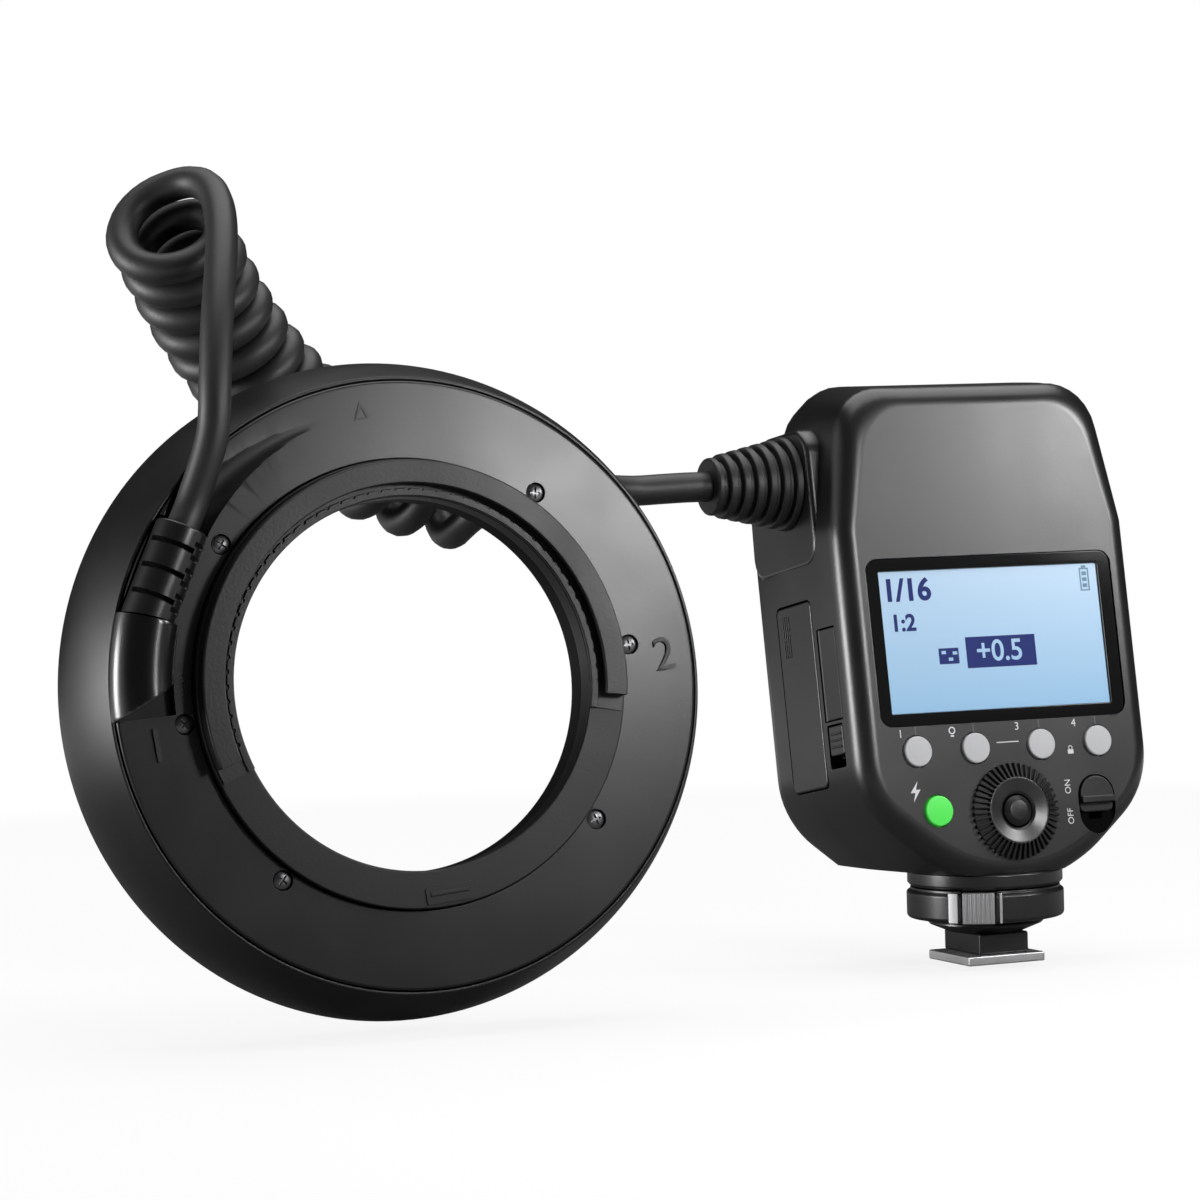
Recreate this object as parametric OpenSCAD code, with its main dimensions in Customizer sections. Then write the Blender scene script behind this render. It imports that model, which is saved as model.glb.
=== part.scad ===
// Macro ring flash: a ring head for a lens, a curly cord and a control unit on a shoe foot.
// Millimetres, +Z up. The origin is the middle of the foot plate's underside, and the user looks along +Y.

/* [Shoe foot] */
// Width of the foot plate across the shoe
foot_w = 18.6; // [18:0.1:19]
// Length of the foot plate along the shoe
foot_l = 18.2; // [17:0.1:20]
// Thickness of the foot plate
foot_t = 2; // [1.6:0.1:2.4]
// Width of the stem above the plate
stem_w = 12; // [11:0.5:12.5]
// Length of the stem above the plate
stem_l = 16; // [15:0.5:17]
// Height of the stem up to the lock ring
stem_h = 7; // [6:0.5:10]
// Diameter of the lock ring
lock_d = 34; // [31:0.5:36]
// Height of the lock ring
lock_h = 7.2; // [6:0.1:9]
// Diameter of the spindle that the lock ring turns on
spindle_d = 14; // [11:0.5:16]
// Diameter of the neck disc under the body
neck_d = 33.6; // [30:0.2:35]
// Thickness of the neck disc
neck_h = 3.2; // [2.4:0.1:5]
// Drop of the lock pin when the lock ring turns
lock_throw = 1.4; // [0.8:0.1:2]
// How far the shoe contacts stand below the plate
contact_proud = 0.5; // [0.2:0.1:0.8]

/* [Control unit] */
// Width of the body
unit_w = 72; // [70:1:80]
// Depth of the body, square to the panel
unit_depth = 46; // [44:1:50]
// Height of the crown above the foot, along the panel
unit_top = 130.4; // [128:0.1:134]
// Width of the hood at the top
hood_w = 65; // [60:0.5:66]
// Lean of the body, back from upright, in degrees
unit_lean = 9.44; // [6:0.01:11]
// Place of the panel's lower edge in front of the foot's middle
panel_y = 19.5; // [18:0.1:21]
// Wall of the shells
wall = 2; // [1.8:0.1:2.4]
// Depth of the joint between the two shells
seam_depth = 24.5; // [22:0.5:27]
// Rounded edge all round the panel
panel_bevel = 3; // [2:0.1:3.5]
// Radius of the bottom corners
belly_corner = 20; // [14:0.5:24]
// Height of the middle of the round bottom
belly_z = 54; // [53:0.5:56]

/* [Panel] */
// Width of the lit display
lcd_w = 53.4; // [48:0.1:55]
// Height of the lit display
lcd_h = 30.4; // [27:0.1:32]
// Width of the display glass
glass_w = 60; // [57:0.1:61]
// Height of the display glass
glass_h = 36; // [34:0.1:37]
// Thickness of the display glass
glass_t = 1.2; // [0.8:0.1:1.4]
// Height of the display's middle along the panel
lcd_z = 71.2; // [70:0.1:73]
// Diameter of the small buttons
button_d = 6.5; // [5.5:0.1:6.8]
// Height of the button row along the panel
button_z = 47.7; // [46.5:0.1:48.5]
// How far a button stands out of the panel
button_proud = 0.9; // [0.6:0.1:1.4]
// Travel of a button
button_travel = 0.7; // [0.4:0.1:0.8]
// Diameter of the control dial
dial_d = 20.8; // [19:0.1:22]
// Height of the dial's middle along the panel
dial_z = 33.7; // [33.2:0.1:34.4]
// How far the dial stands out of the panel
dial_proud = 2.6; // [1.8:0.1:3.4]
// Number of ribs on the dial
dial_ribs = 40; // [24:1:60]
// Diameter of the set button in the dial
set_d = 7.6; // [6.6:0.1:7.8]
// Travel of the power switch
switch_travel = 2.7; // [2:0.1:3]

/* [Battery side] */
// Height of the battery pack
battery_h = 40.4; // [36:0.2:42]
// Thickness of the battery pack
battery_t = 16.4; // [14:0.2:17]
// Length of the battery pack
battery_l = 60; // [50:1:62]
// Height of the battery's middle along the panel
battery_z = 62.8; // [62:0.2:64]
// Height of the port cover
port_h = 19.6; // [16:0.2:20]
// Width of the port cover
port_w = 7.6; // [6.5:0.1:7.8]

/* [Ring head] */
// Diameter of the front rim
ring_d = 132; // [131:0.5:136]
// Diameter of the rear face
ring_rear_d = 120.6; // [120:0.2:122]
// Diameter of the lens opening
bore_d = 73.6; // [72:0.2:74.2]
// Depth from the rear face to the front rim
ring_depth = 22.1; // [21.8:0.1:25]
// Thickness of the rear cover
cover_t = 3.2; // [3:0.1:3.6]
// Wall of the ring's shell
ring_wall = 2.2; // [1.8:0.1:2.6]
// Outer diameter of the adapter seat
seat_d = 88.6; // [88:0.1:89]
// Height of the adapter lip above the seat
lip_h = 3.25; // [3:0.05:3.6]
// Sweep of the adapter lip, in degrees
lip_sweep = 206; // [180:1:212]
// Number of detent teeth
detent_teeth = 48; // [30:1:70]
// Radius of the circle of cover screws
screw_circle = 46.8; // [46.7:0.05:47.1]
// Travel of the adapter latch
latch_travel = 0.8; // [0.5:0.1:0.9]

/* [Cord] */
// Diameter of the cord
cord_d = 6.5; // [5.8:0.1:6.5]
// Radius of the coil at the middle of the cord
coil_r = 9.5; // [9:0.1:10.5]
// Number of turns in the coil
coil_turns = 13.5; // [10:0.5:13.5]
// Diameter of the strain relief on the ring head
ring_boot_d = 10.4; // [9.8:0.1:10.5]
// Length of the strain relief on the ring head
ring_boot_l = 20.5; // [19.6:0.1:20.6]
// Diameter of the boot at the control unit
unit_boot_d = 20.6; // [16:0.2:21]
// Diameter of the boot at its tip
unit_boot_tip = 12.6; // [10:0.2:14]
// Length of the boot at the control unit
unit_boot_l = 18.4; // [14:0.2:22]

/* [Hidden] */
$fn = 64;
slide_gap = 0.3;
seat_gap = 0.1;
run_gap = 0.06;
sheet = 0.01;
big = 400;

// Heights of the foot's pieces
shoulder_z = foot_t + stem_h;
lock_z = shoulder_z + slide_gap;
neck_z = lock_z + lock_h + slide_gap;
underside_z = neck_z + neck_h;
cone_h = 2.5;
shoulder_r = lock_d / 2 - 3;

// Shoe contacts, foot screws and lock pin
contact_spots = [[0, 0, 1.5], [3.6, 3, 1], [-3.6, 3, 1], [3.6, -2.2, 1], [-3.6, -2.2, 1]];
contact_l = 3.4;
contact_room = 1.2;
foot_screw_spots = [[3.8, -5.6], [-3.8, -5.6]];
foot_screw_r = 0.8;
foot_screw_head_r = 1.5;
foot_screw_l = 5;
lock_pin_r = 1;
lock_pin_y = 5.9;
lock_pin_sunk = 0.3;
lock_pin_l = 5;
neck_screw_spots = [[9.5, -4], [-9.5, -4], [0, 13]];
neck_screw_r = 1;
neck_screw_head_r = 1.9;
neck_screw_head_h = 1.3;

// Release button on the lock ring
release_angle = -124;
release_w = 6.9;
release_l = 3;
release_travel = 1.1;
release_margin = 0.6;
trim_t = 0.35;
trim_bands = [[-146.5, 7], [-108.6, 1.8]];
trim_play = 0.3;

// Body form: depth, inset and fall of the crown at each station
crown_depth = 21;
crown_drop = 14.5;
crown_rise = 3;
back_round = 7;
hood_start = 96;
hood_corner = 11;
belly_rise = 7.5;
crown_slope = crown_drop / (unit_depth - crown_depth);
stations = [
    [0, panel_bevel, crown_rise + 0.6],
    [3, 0.5, crown_rise + 0.3],
    [10, 0.2, 0.63 * crown_rise],
    [crown_depth, 0.1, 0],
    [crown_depth + 7, 0, 0.5 * crown_slope * 7],
    [unit_depth - back_round, 0.6, 0.9 * crown_slope * (unit_depth - back_round - crown_depth)],
    [unit_depth, back_round, crown_drop]
];

// Panel pieces
inner_y = wall + slide_gap;
button_x = [-22, -8, 8, 22];
button_flange = 0.6;
button_flange_t = 0.8;
test_x = -18.4;
test_z = 34.8;
switch_x = 20.4;
switch_z = 34.1;
switch_w = 8.7;
switch_h = 12.4;
switch_sink = 1.3;
switch_play = 0.15;
switch_stem_w = 2.6;
switch_stem_h = 3;
glass_corner = 3;
lcd_t = 4;
lcd_rim = 2.6;
board_t = 1.6;
board_y = 7.2;
tact_r = 1.6;
board_margin = 5;
board_w = 58;
board_low = 8;
board_high = 4;
main_w = 60;
main_h = 34;
main_x = -31;
hub_r = 6;
hub_end = 4.5;
encoder_r = 9.5;
set_flange_r = 5.3;
knurl_r = 0.45;
main_y = wall + lcd_t;
post_spots = [[24, 94], [-24, 94]];
post_r = 3.6;
screw_r = 1.3;
screw_head_r = 2.4;
screw_head_h = 1.1;
body_screw_end = 14;
capacitor_r = 9.5;
capacitor_l = 36;
capacitor_z = 99.5;

// Battery side pieces
side_x = unit_w / 2;
battery_y = 24.05;
tray_t = 1.2;
tray_gap = 0.2;
tray_inset = 7;
tray_x = -side_x + tray_inset;
battery_x = -side_x + 0.1;
tray_end = battery_x + battery_l + slide_gap;
blade_w = 1.2;
blade_h = 7;
blade_spots = [-12, 0, 12];
port_y = 10.15;
port_z = 66.2;
port_t = 1.5;
port_lean = 1.8;
port_pin_r = 0.55;
port_pin_x = -side_x + 0.15 + port_pin_r;
latch_y = 10.15;
latch_w = 6.4;
latch_h = 6.4;
latch_slide = 2.5;
latch_z = 52;
latch_reach = 0.7;

// Unit cord boot
boot_y = 22;
boot_z = 109.3;
cheek = [[10, 90], [10, 116.5], [14, 120], [30, 120.5], [40, 115], [41, 90]];
boot_plug_r = 7;
boot_face = side_x + 0.1;
boot_ribs = 6;
boot_rib_cut = 1.3;

// Ring head pose, from the foot's frame
ring_c = [-144.85, -31.82, 68.4];
ring_tilt = 6.8;
ring_yaw = -2.9;
ring_roll = 7;

// Ring head radii and levels
ring_r = ring_d / 2;
ring_rear_r = ring_rear_d / 2;
bore_r = bore_d / 2;
seat_r = seat_d / 2;
cover_in_r = seat_r + 0.2;
cover_out_r = ring_rear_r - 0.2;
seat_top = 1.75;
plate_t = 0.4;
plate_over = 4;
flange_t = 1.2;
flange_r = 49.6;
tube_wall = 2.2;
throat_z = -8.5;
flare_r = bore_r + 7.4;
rim_r = ring_rear_r + 0.7;
rim_z = -0.6;
bulge = 19;
front_land = 3.2;
ledge_r = 57.8;
ledge_t = 1.9;
lip_in_r = bore_r + 2.4;
lip_out_r = seat_r - 0.5;
lip_t = 1.3;
lip_root_r = lip_out_r - 2;
lip_start = 90 - lip_sweep / 2;
detent_in_r = bore_r + 0.1;
detent_out_r = bore_r + 1.6;
detent_top = seat_top + 0.9;
tooth_r = 0.5;
screw_angles = [45, 0, -45, -135, 180, 135];
cover_screw_r = 0.9;
cover_screw_head_r = 1.9;
cover_screw_head_h = 1.05;
latch_angle = -91;
catch_r = detent_out_r;
catch_l = 3;
catch_w = 12;
catch_floor = -2.7;
catch_proud = 0.5;
catch_roof = 0.8;
nub_w = 8;
nub_t = 0.9;
nub_r = catch_r + 2.6;
nub_low = -0.3;
spring_t = 0.35;
diffuser_z = -ring_depth - 0.1;
diffuser_t = 2.6;
tube_r = 2.6;
reflector_in_r = flare_r + tube_wall + 1.4;
reflector_out_r = ring_r - front_land - 0.8;
tube_circle = (reflector_in_r + reflector_out_r) / 2;
reflector_floor = -10;
reflector_t = 1;
reflector_sweep = 166;
tube_sweep = 160;
tube_z = reflector_floor - reflector_t - tube_r - 0.4;
lamp_w = 8.8;
lamp_lens_r = 3.6;
lamp_l = 13;
lamp_h = 9;

// Strain relief, sleeve and cable groove of the ring head
ring_boot_angle = 147.9;
boot_rim_gap = 0.9;
ring_boot_r = ring_rear_r - boot_rim_gap - ring_boot_d / 2;
ring_boot_z = 0.8;
ring_boot_slots = 3;
slot_w = 1.1;
slot_depth = 0.9;
sleeve_r = 5.7;
sleeve_from = 157.4;
sleeve_sweep = 20;
sleeve_base = 5.9;
mouth_from = 171;
mouth_depth = 2.2;
mouth_r = sleeve_r - 0.7;
trough_play = 0.4;
cord_play = 0.7;
groove_tip = [97.5, ring_boot_r - 0.1];
groove_rise = 2.5;
groove_r = 4.8;

// Coil axis: four handles of one smooth curve, with the flare of its first turn
coil_handles = [[-180, 6, 162], [-166.5, 22.5, 143.5], [-146, 38, 110], [-100, 26, 103.5]];
coil_phase = 0;
coil_spread = -0.08;
coil_fade = 0.93;
coil_flare = 1.2;
coil_flare_turns = 1;
cord_joint = 0.2;
curl_rings = 8;

// Free stretches of the cord
ring_route = [[-183, -27.5, 118.1], [-181.7, -26.5, 128.9], [-179.4, -22, 140.6], [-176.3, -15, 151]];
unit_route = [[-84, 22.8, 103], [-72, 20.9, 103.8]];
route_steps = 4;

function unit(v) = v / norm(v);
function smooth(u) = u * u * (3 - 2 * u);
function rot_x(p, a) = [p.x, p.y * cos(a) - p.z * sin(a), p.y * sin(a) + p.z * cos(a)];
function rot_z(p, a) = [p.x * cos(a) - p.y * sin(a), p.x * sin(a) + p.y * cos(a), p.z];
function ring_to_part(p) = ring_c + rot_z(rot_x(rot_z(p, ring_roll), 90 - ring_tilt), ring_yaw);
function ring_turn(p) = ring_to_part(p) - ring_c;
function unit_to_part(p) = [0, -panel_y, 0] + rot_x(p, -unit_lean);
function polar(r, a, z) = [r * cos(a), r * sin(a), z];

// Ends of the cord at its two boots
ring_exit_local = polar(ring_boot_r, ring_boot_angle, ring_boot_z)
    + ring_boot_l / 2 * polar(1, ring_boot_angle - 90, 0);
ring_exit = ring_to_part(ring_exit_local);
ring_exit_dir = ring_turn(polar(1, ring_boot_angle - 90, 0));
unit_exit = unit_to_part([-boot_face - unit_boot_l, boot_y, boot_z]);

// Coil: place and direction of its axis, and the cord's place at t from 0 to 1
function axis_at(t) = pow(1 - t, 3) * coil_handles[0] + 3 * t * pow(1 - t, 2) * coil_handles[1]
    + 3 * t * t * (1 - t) * coil_handles[2] + pow(t, 3) * coil_handles[3];
function axis_dir(t) = unit(pow(1 - t, 2) * (coil_handles[1] - coil_handles[0])
    + 2 * t * (1 - t) * (coil_handles[2] - coil_handles[1]) + t * t * (coil_handles[3] - coil_handles[2]));
coil_plane = unit(cross(axis_dir(0), axis_dir(1)));
function coil_angle(t) = coil_phase - 360 * coil_turns * (t + coil_spread * sin(360 * t) / (2 * PI));
function coil_side(t) = unit(cross(coil_plane, axis_dir(t)));
function coil_out(t) = let (n = coil_side(t), a = coil_angle(t)) cos(a) * n + sin(a) * cross(axis_dir(t), n);
function coil_width(t) = coil_flare * (1 - smooth(min(1, t * coil_turns / coil_flare_turns)))
    + (t < coil_fade ? coil_r : coil_r * (0.5 + 0.5 * cos(180 * (t - coil_fade) / (1 - coil_fade))));
function coil_at(t) = axis_at(t) + coil_width(t) * coil_out(t);
coil_steps = ceil(coil_turns * curl_rings);
coil_start_dir = unit(coil_at(0.001) - coil_at(0));
coil_start = coil_at(0) - cord_d * coil_start_dir;
coil_end = axis_at(1) + cord_d * axis_dir(1);
coil_path = concat([coil_start], [for (i = [0 : coil_steps]) coil_at(i / coil_steps)], [coil_end]);
coil_refs = concat([coil_out(0)], [for (i = [0 : coil_steps]) coil_out(i / coil_steps)], [coil_out(1)]);

// Free stretches: a smooth curve through the chosen points
function spline(p0, p1, p2, p3, t) = 0.5 * (2 * p1 + (p2 - p0) * t + (2 * p0 - 5 * p1 + 4 * p2 - p3) * t * t
    + (3 * p1 - p0 - 3 * p2 + p3) * t * t * t);
function through(p) = let (n = len(p), q = concat([2 * p[0] - p[1]], p, [2 * p[n - 1] - p[n - 2]]))
    concat([for (i = [0 : n - 2], k = [0 : route_steps - 1])
        spline(q[i], q[i + 1], q[i + 2], q[i + 3], k / route_steps)], [p[n - 1]]);
ring_tail_path = through(concat([ring_exit, ring_exit + cord_d * ring_exit_dir], ring_route,
    [coil_start - cord_d * coil_start_dir, coil_start - cord_joint * coil_start_dir]));
unit_tail_path = through(concat([coil_end + cord_joint * axis_dir(1), coil_end + cord_d * axis_dir(1)], unit_route,
    [unit_exit - [cord_d, 0, 0], unit_exit]));

function path_length(p) = len(p) < 2 ? 0 : [for (i = [0 : len(p) - 2]) norm(p[i + 1] - p[i])] * [for (i = [0 : len(p) - 2]) 1];
function self_gap(p, skip) = min([for (i = [0 : len(p) - 1 - skip], j = [i + skip : len(p) - 1]) norm(p[i] - p[j])]) - cord_d;
echo(coil_least_gap = self_gap(coil_path, curl_rings / 2));
echo(cord_length = path_length(ring_tail_path) + path_length(coil_path) + path_length(unit_tail_path));

// Frames and shared shapes
module unit_frame() { translate([0, -panel_y, 0]) rotate([-unit_lean, 0, 0]) children(); }
module ring_frame() { translate(ring_c) rotate([90 - ring_tilt, 0, ring_yaw]) rotate([0, 0, ring_roll]) children(); }
// A flat outline drawn across the panel, between two depths
module on_panel(y0, y1) { translate([0, y1, 0]) rotate([90, 0, 0]) linear_extrude(y1 - y0) children(); }
// A flat outline drawn on the side, between two places across the body
module on_side(x0, x1) { translate([x0, 0, 0]) rotate([90, 0, 90]) linear_extrude(x1 - x0) children(); }
module panel_disc(x, z, y0, y1, r) { on_panel(y0, y1) translate([x, z]) circle(r); }
module rounded(w, h, r) {
    square([w - 2 * r, h], center = true);
    square([w, h - 2 * r], center = true);
    for (x = [-1, 1], y = [-1, 1]) translate([x * (w / 2 - r), y * (h / 2 - r)]) circle(r);
}
module rod(p, q, r) {
    d = q - p;
    translate(p) rotate([0, acos(d.z / norm(d)), atan2(d.y, d.x)]) cylinder(h = norm(d), r = r);
}
module hoop(r0, r1, z0, z1) {
    difference() {
        translate([0, 0, z0]) cylinder(h = z1 - z0, r = r1);
        translate([0, 0, z0 - 1]) cylinder(h = z1 - z0 + 2, r = r0);
    }
}
module sector(r0, r1, z0, z1, from, sweep) {
    rotate([0, 0, from]) rotate_extrude(angle = sweep) translate([r0, z0]) square([r1 - r0, z1 - z0]);
}
module tube(path, refs, sides) {
    n = len(path);
    points = [for (i = [0 : n - 1])
        let (t = unit(path[min(i + 1, n - 1)] - path[max(i - 1, 0)]),
             u = unit(refs[i] - (refs[i] * t) * t),
             v = cross(t, u))
        for (k = [0 : sides - 1]) path[i] + cord_d / 2 * (cos(360 * k / sides) * u + sin(360 * k / sides) * v)];
    last = (n - 1) * sides;
    faces = concat(
        [for (k = [1 : sides - 2]) [0, k, k + 1]],
        [for (k = [1 : sides - 2]) [last, last + k + 1, last + k]],
        [for (i = [0 : n - 2], k = [0 : sides - 1]) let (a = i * sides + k, b = i * sides + (k + 1) % sides)
            each [[a, a + sides, b], [b, a + sides, b + sides]]]);
    polyhedron(points, faces);
}

// Body form of the control unit, with an inset for its hollow
module face_outline(inset, fall) {
    translate([0, belly_z]) circle(unit_w / 2 - inset);
    for (s = [-1, 1]) {
        translate([s * (unit_w / 2 - belly_corner), belly_z - belly_rise]) circle(belly_corner - inset);
        translate([s * (unit_w / 2 - inset), hood_start]) square(sheet, center = true);
        translate([s * (hood_w / 2 - hood_corner - inset), unit_top - fall - hood_corner - inset]) circle(hood_corner);
    }
}
module body_form(inset) {
    hull() {
        for (s = stations) {
            y = inset + s[0] * (unit_depth - 2 * inset) / unit_depth;
            on_panel(y, y + sheet) face_outline(s[1] + inset, s[2]);
        }
    }
}
module below(z) { translate([-big / 2, -big / 2, z - big]) cube(big); }
module body_block(inset) {
    difference() {
        unit_frame() body_form(inset);
        below(underside_z + inset);
    }
}
module boot_cheek() { on_side(-boot_face, -side_x + 6) polygon(cheek); }
module body_shell() {
    difference() {
        union() {
            body_block(0);
            unit_frame() boot_cheek();
        }
        body_block(wall);
        unit_frame() side_cuts();
        neck_screw_cuts();
    }
}
module depth_slab(y0, y1) { unit_frame() translate([-big / 2, y0, -big / 2]) cube([big, y1 - y0, big]); }
module battery_outline(grow) { translate([battery_y, battery_z]) rounded(battery_t + 2 * grow, battery_h + 2 * grow, 1.5 + grow); }
module side_cuts() {
    reach = wall + 2;
    on_side(-side_x - 1, -side_x + reach) battery_outline(slide_gap);
    on_side(-side_x - 1, -side_x + reach) translate([port_y, port_z]) square([port_w + 2 * slide_gap, port_h + 2 * slide_gap], center = true);
    on_side(-side_x - 1, -side_x + reach) translate([latch_y, latch_z - latch_slide / 2]) square([latch_w + 2 * slide_gap, latch_h + latch_slide + 2 * slide_gap], center = true);
    on_side(-boot_face - 1, -side_x + 8) translate([boot_y, boot_z]) circle(boot_plug_r + seat_gap);
}
module neck_screw_cuts() {
    for (p = neck_screw_spots) translate([p.x, p.y, underside_z - 1]) cylinder(h = wall + 2, r = neck_screw_r + seat_gap);
}

// Shoe foot
module foot_plate() {
    color("silver") difference() {
        translate([-foot_w / 2, -foot_l / 2, 0]) cube([foot_w, foot_l, foot_t]);
        foot_holes();
    }
}
module foot_stem() {
    color("dimgray") difference() {
        union() {
            translate([-stem_w / 2, -stem_l / 2, foot_t]) cube([stem_w, stem_l, stem_h - cone_h]);
            translate([0, 0, shoulder_z - cone_h]) cylinder(h = cone_h, r1 = stem_l / 2, r2 = shoulder_r);
            cylinder_from(shoulder_z, neck_z, spindle_d / 2);
        }
        foot_holes();
    }
}
module cylinder_from(z0, z1, r) { translate([0, 0, z0]) cylinder(h = z1 - z0, r = r); }
module foot_holes() {
    for (p = contact_spots) translate([p.x, p.y, -1]) cylinder(h = 1 + contact_l - contact_proud + contact_room, r = p.z + slide_gap / 2);
    for (p = foot_screw_spots) {
        translate([p.x, p.y, -1]) cylinder(h = foot_screw_l + 1.1, r = foot_screw_r + seat_gap);
        translate([p.x, p.y, -1]) cylinder(h = 1.9, r = foot_screw_head_r + seat_gap);
    }
    translate([0, lock_pin_y, -1]) cylinder(h = 1 + lock_pin_sunk + lock_pin_l + seat_gap, r = lock_pin_r + run_gap);
}
module foot_screws() {
    color("gray") for (p = foot_screw_spots) translate([p.x, p.y, 0.1]) {
        cylinder(h = 0.7, r = foot_screw_head_r);
        cylinder(h = foot_screw_l - 0.2, r = foot_screw_r);
    }
}
module contact_pins() {
    color("goldenrod") for (p = contact_spots) translate([p.x, p.y, -contact_proud]) cylinder(h = contact_l, r = p.z);
}
module lock_pin() {
    color("gray") translate([0, lock_pin_y, lock_pin_sunk]) cylinder(h = lock_pin_l, r = lock_pin_r);
}
module release_outline(grow) {
    inner = lock_d / 2 - release_l - grow * (release_travel + slide_gap) / slide_gap;
    translate([inner, -release_w / 2 - grow]) square([lock_d, release_w + 2 * grow]);
}
module trim_ring(grow) {
    for (b = trim_bands)
        sector(lock_d / 2 - trim_t - grow, lock_d / 2 + grow, lock_z + trim_play - grow, lock_z + lock_h - trim_play + grow,
            b[0] - grow, b[1] + 2 * grow);
}
module lock_ring() {
    color("black") difference() {
        cylinder_from(lock_z, lock_z + lock_h, lock_d / 2);
        cylinder_from(lock_z - 1, lock_z + lock_h + 1, spindle_d / 2 + run_gap);
        rotate([0, 0, release_angle]) translate([0, 0, lock_z - 1]) linear_extrude(lock_h + 2) release_outline(slide_gap);
        trim_ring(seat_gap);
    }
}
module lock_trim() { color("silver") trim_ring(0); }
module lock_release_button() {
    color("silver") intersection() {
        cylinder_from(lock_z, lock_z + lock_h, lock_d / 2 + 0.2);
        rotate([0, 0, release_angle]) translate([0, 0, lock_z + release_margin / 2]) linear_extrude(lock_h - release_margin) release_outline(0);
    }
}
module neck_disc() {
    color("dimgray") difference() {
        cylinder_from(neck_z, underside_z, neck_d / 2);
        for (p = neck_screw_spots) translate([p.x, p.y, neck_z + 0.8]) cylinder(h = neck_h, r = neck_screw_r + seat_gap);
    }
}
module neck_screws() {
    color("gray") for (p = neck_screw_spots) translate([p.x, p.y, 0]) {
        cylinder_from(neck_z + 1, underside_z + wall, neck_screw_r);
        cylinder_from(underside_z + wall, underside_z + wall + neck_screw_head_h, neck_screw_head_r);
    }
}

// Shells of the control unit
module rear_panel_shell() {
    color("#242426") difference() {
        union() {
            intersection() {
                body_shell();
                depth_slab(-1, seam_depth);
            }
            unit_frame() for (p = post_spots) panel_disc(p.x, p.y, wall - seat_gap, seam_depth, post_r);
        }
        unit_frame() panel_cuts();
        unit_frame() for (p = post_spots) panel_disc(p.x, p.y, body_screw_end - 1, seam_depth + 1, screw_r + seat_gap);
    }
}
module panel_cuts() {
    on_panel(-1, glass_t) translate([0, lcd_z]) rounded(glass_w + 2 * seat_gap, glass_h + 2 * seat_gap, glass_corner);
    on_panel(-1, wall + 1) translate([0, lcd_z]) square([lcd_w, lcd_h], center = true);
    for (x = button_x) panel_disc(x, button_z, -1, wall + 1, button_d / 2 + slide_gap);
    panel_disc(test_x, test_z, -1, wall + 1, button_d / 2 + slide_gap);
    panel_disc(0, dial_z, -1, wall + 1, hub_r + slide_gap);
    on_panel(-1, switch_sink) translate([switch_x, switch_z]) rounded(switch_w, switch_h, switch_w / 2 - sheet);
    on_panel(-1, wall + 1) translate([switch_x, switch_z]) square([switch_stem_w + 2 * slide_gap, switch_stem_h + switch_travel + 2 * slide_gap], center = true);
}
module front_shell() {
    color("#1c1c1e") difference() {
        union() {
            intersection() {
                body_shell();
                depth_slab(seam_depth, unit_depth + 1);
            }
            unit_frame() for (p = post_spots) panel_disc(p.x, p.y, seam_depth, unit_depth - wall + seat_gap, post_r);
        }
        unit_frame() for (p = post_spots) {
            panel_disc(p.x, p.y, seam_depth - 1, unit_depth + 1, screw_r + seat_gap);
            panel_disc(p.x, p.y, unit_depth - screw_head_h - 0.2, unit_depth + 1, screw_head_r + seat_gap);
        }
    }
}
module body_screws() {
    top = unit_depth - 0.2;
    color("dimgray") unit_frame() for (p = post_spots) {
        panel_disc(p.x, p.y, top - screw_head_h, top, screw_head_r);
        panel_disc(p.x, p.y, body_screw_end, top - screw_head_h, screw_r);
    }
}

// Display, buttons, dial and switch
module lcd_window() {
    color("#101014") unit_frame() on_panel(0, glass_t) translate([0, lcd_z]) rounded(glass_w, glass_h, glass_corner - seat_gap);
}
module lcd_module() {
    color("lightskyblue") unit_frame() on_panel(wall, wall + lcd_t) translate([0, lcd_z]) square([lcd_w + 2 * lcd_rim, lcd_h + 2 * lcd_rim], center = true);
}
module push_button(x, z) {
    unit_frame() {
        panel_disc(x, z, -button_proud, inner_y, button_d / 2);
        panel_disc(x, z, inner_y, inner_y + button_flange_t, button_d / 2 + button_flange);
    }
}
module function_button_1() { color("lightgray") push_button(button_x[0], button_z); }
module function_button_2() { color("lightgray") push_button(button_x[1], button_z); }
module function_button_3() { color("lightgray") push_button(button_x[2], button_z); }
module function_button_4() { color("lightgray") push_button(button_x[3], button_z); }
module test_button() { color("limegreen") push_button(test_x, test_z); }
module control_dial() {
    color("#202022") unit_frame() difference() {
        union() {
            panel_disc(0, dial_z, -dial_proud, -slide_gap, dial_d / 2);
            panel_disc(0, dial_z, -slide_gap, hub_end, hub_r);
        }
        panel_disc(0, dial_z, -dial_proud - 1, hub_end + 1, set_d / 2 + slide_gap);
        for (i = [0 : dial_ribs - 1]) {
            a = 360 * i / dial_ribs;
            panel_disc(dial_d / 2 * cos(a), dial_z + dial_d / 2 * sin(a), -dial_proud - 1, 0, knurl_r);
        }
    }
}
module dial_encoder() {
    color("gray") unit_frame() difference() {
        panel_disc(0, dial_z, inner_y, board_y, encoder_r);
        panel_disc(0, dial_z, 0, board_y + 1, hub_r + run_gap);
    }
}
module set_button() {
    color("#303032") unit_frame() {
        panel_disc(0, dial_z, -dial_proud + 0.3, hub_end + slide_gap, set_d / 2);
        panel_disc(0, dial_z, hub_end + slide_gap, hub_end + slide_gap + button_flange_t, set_flange_r);
    }
}
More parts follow.
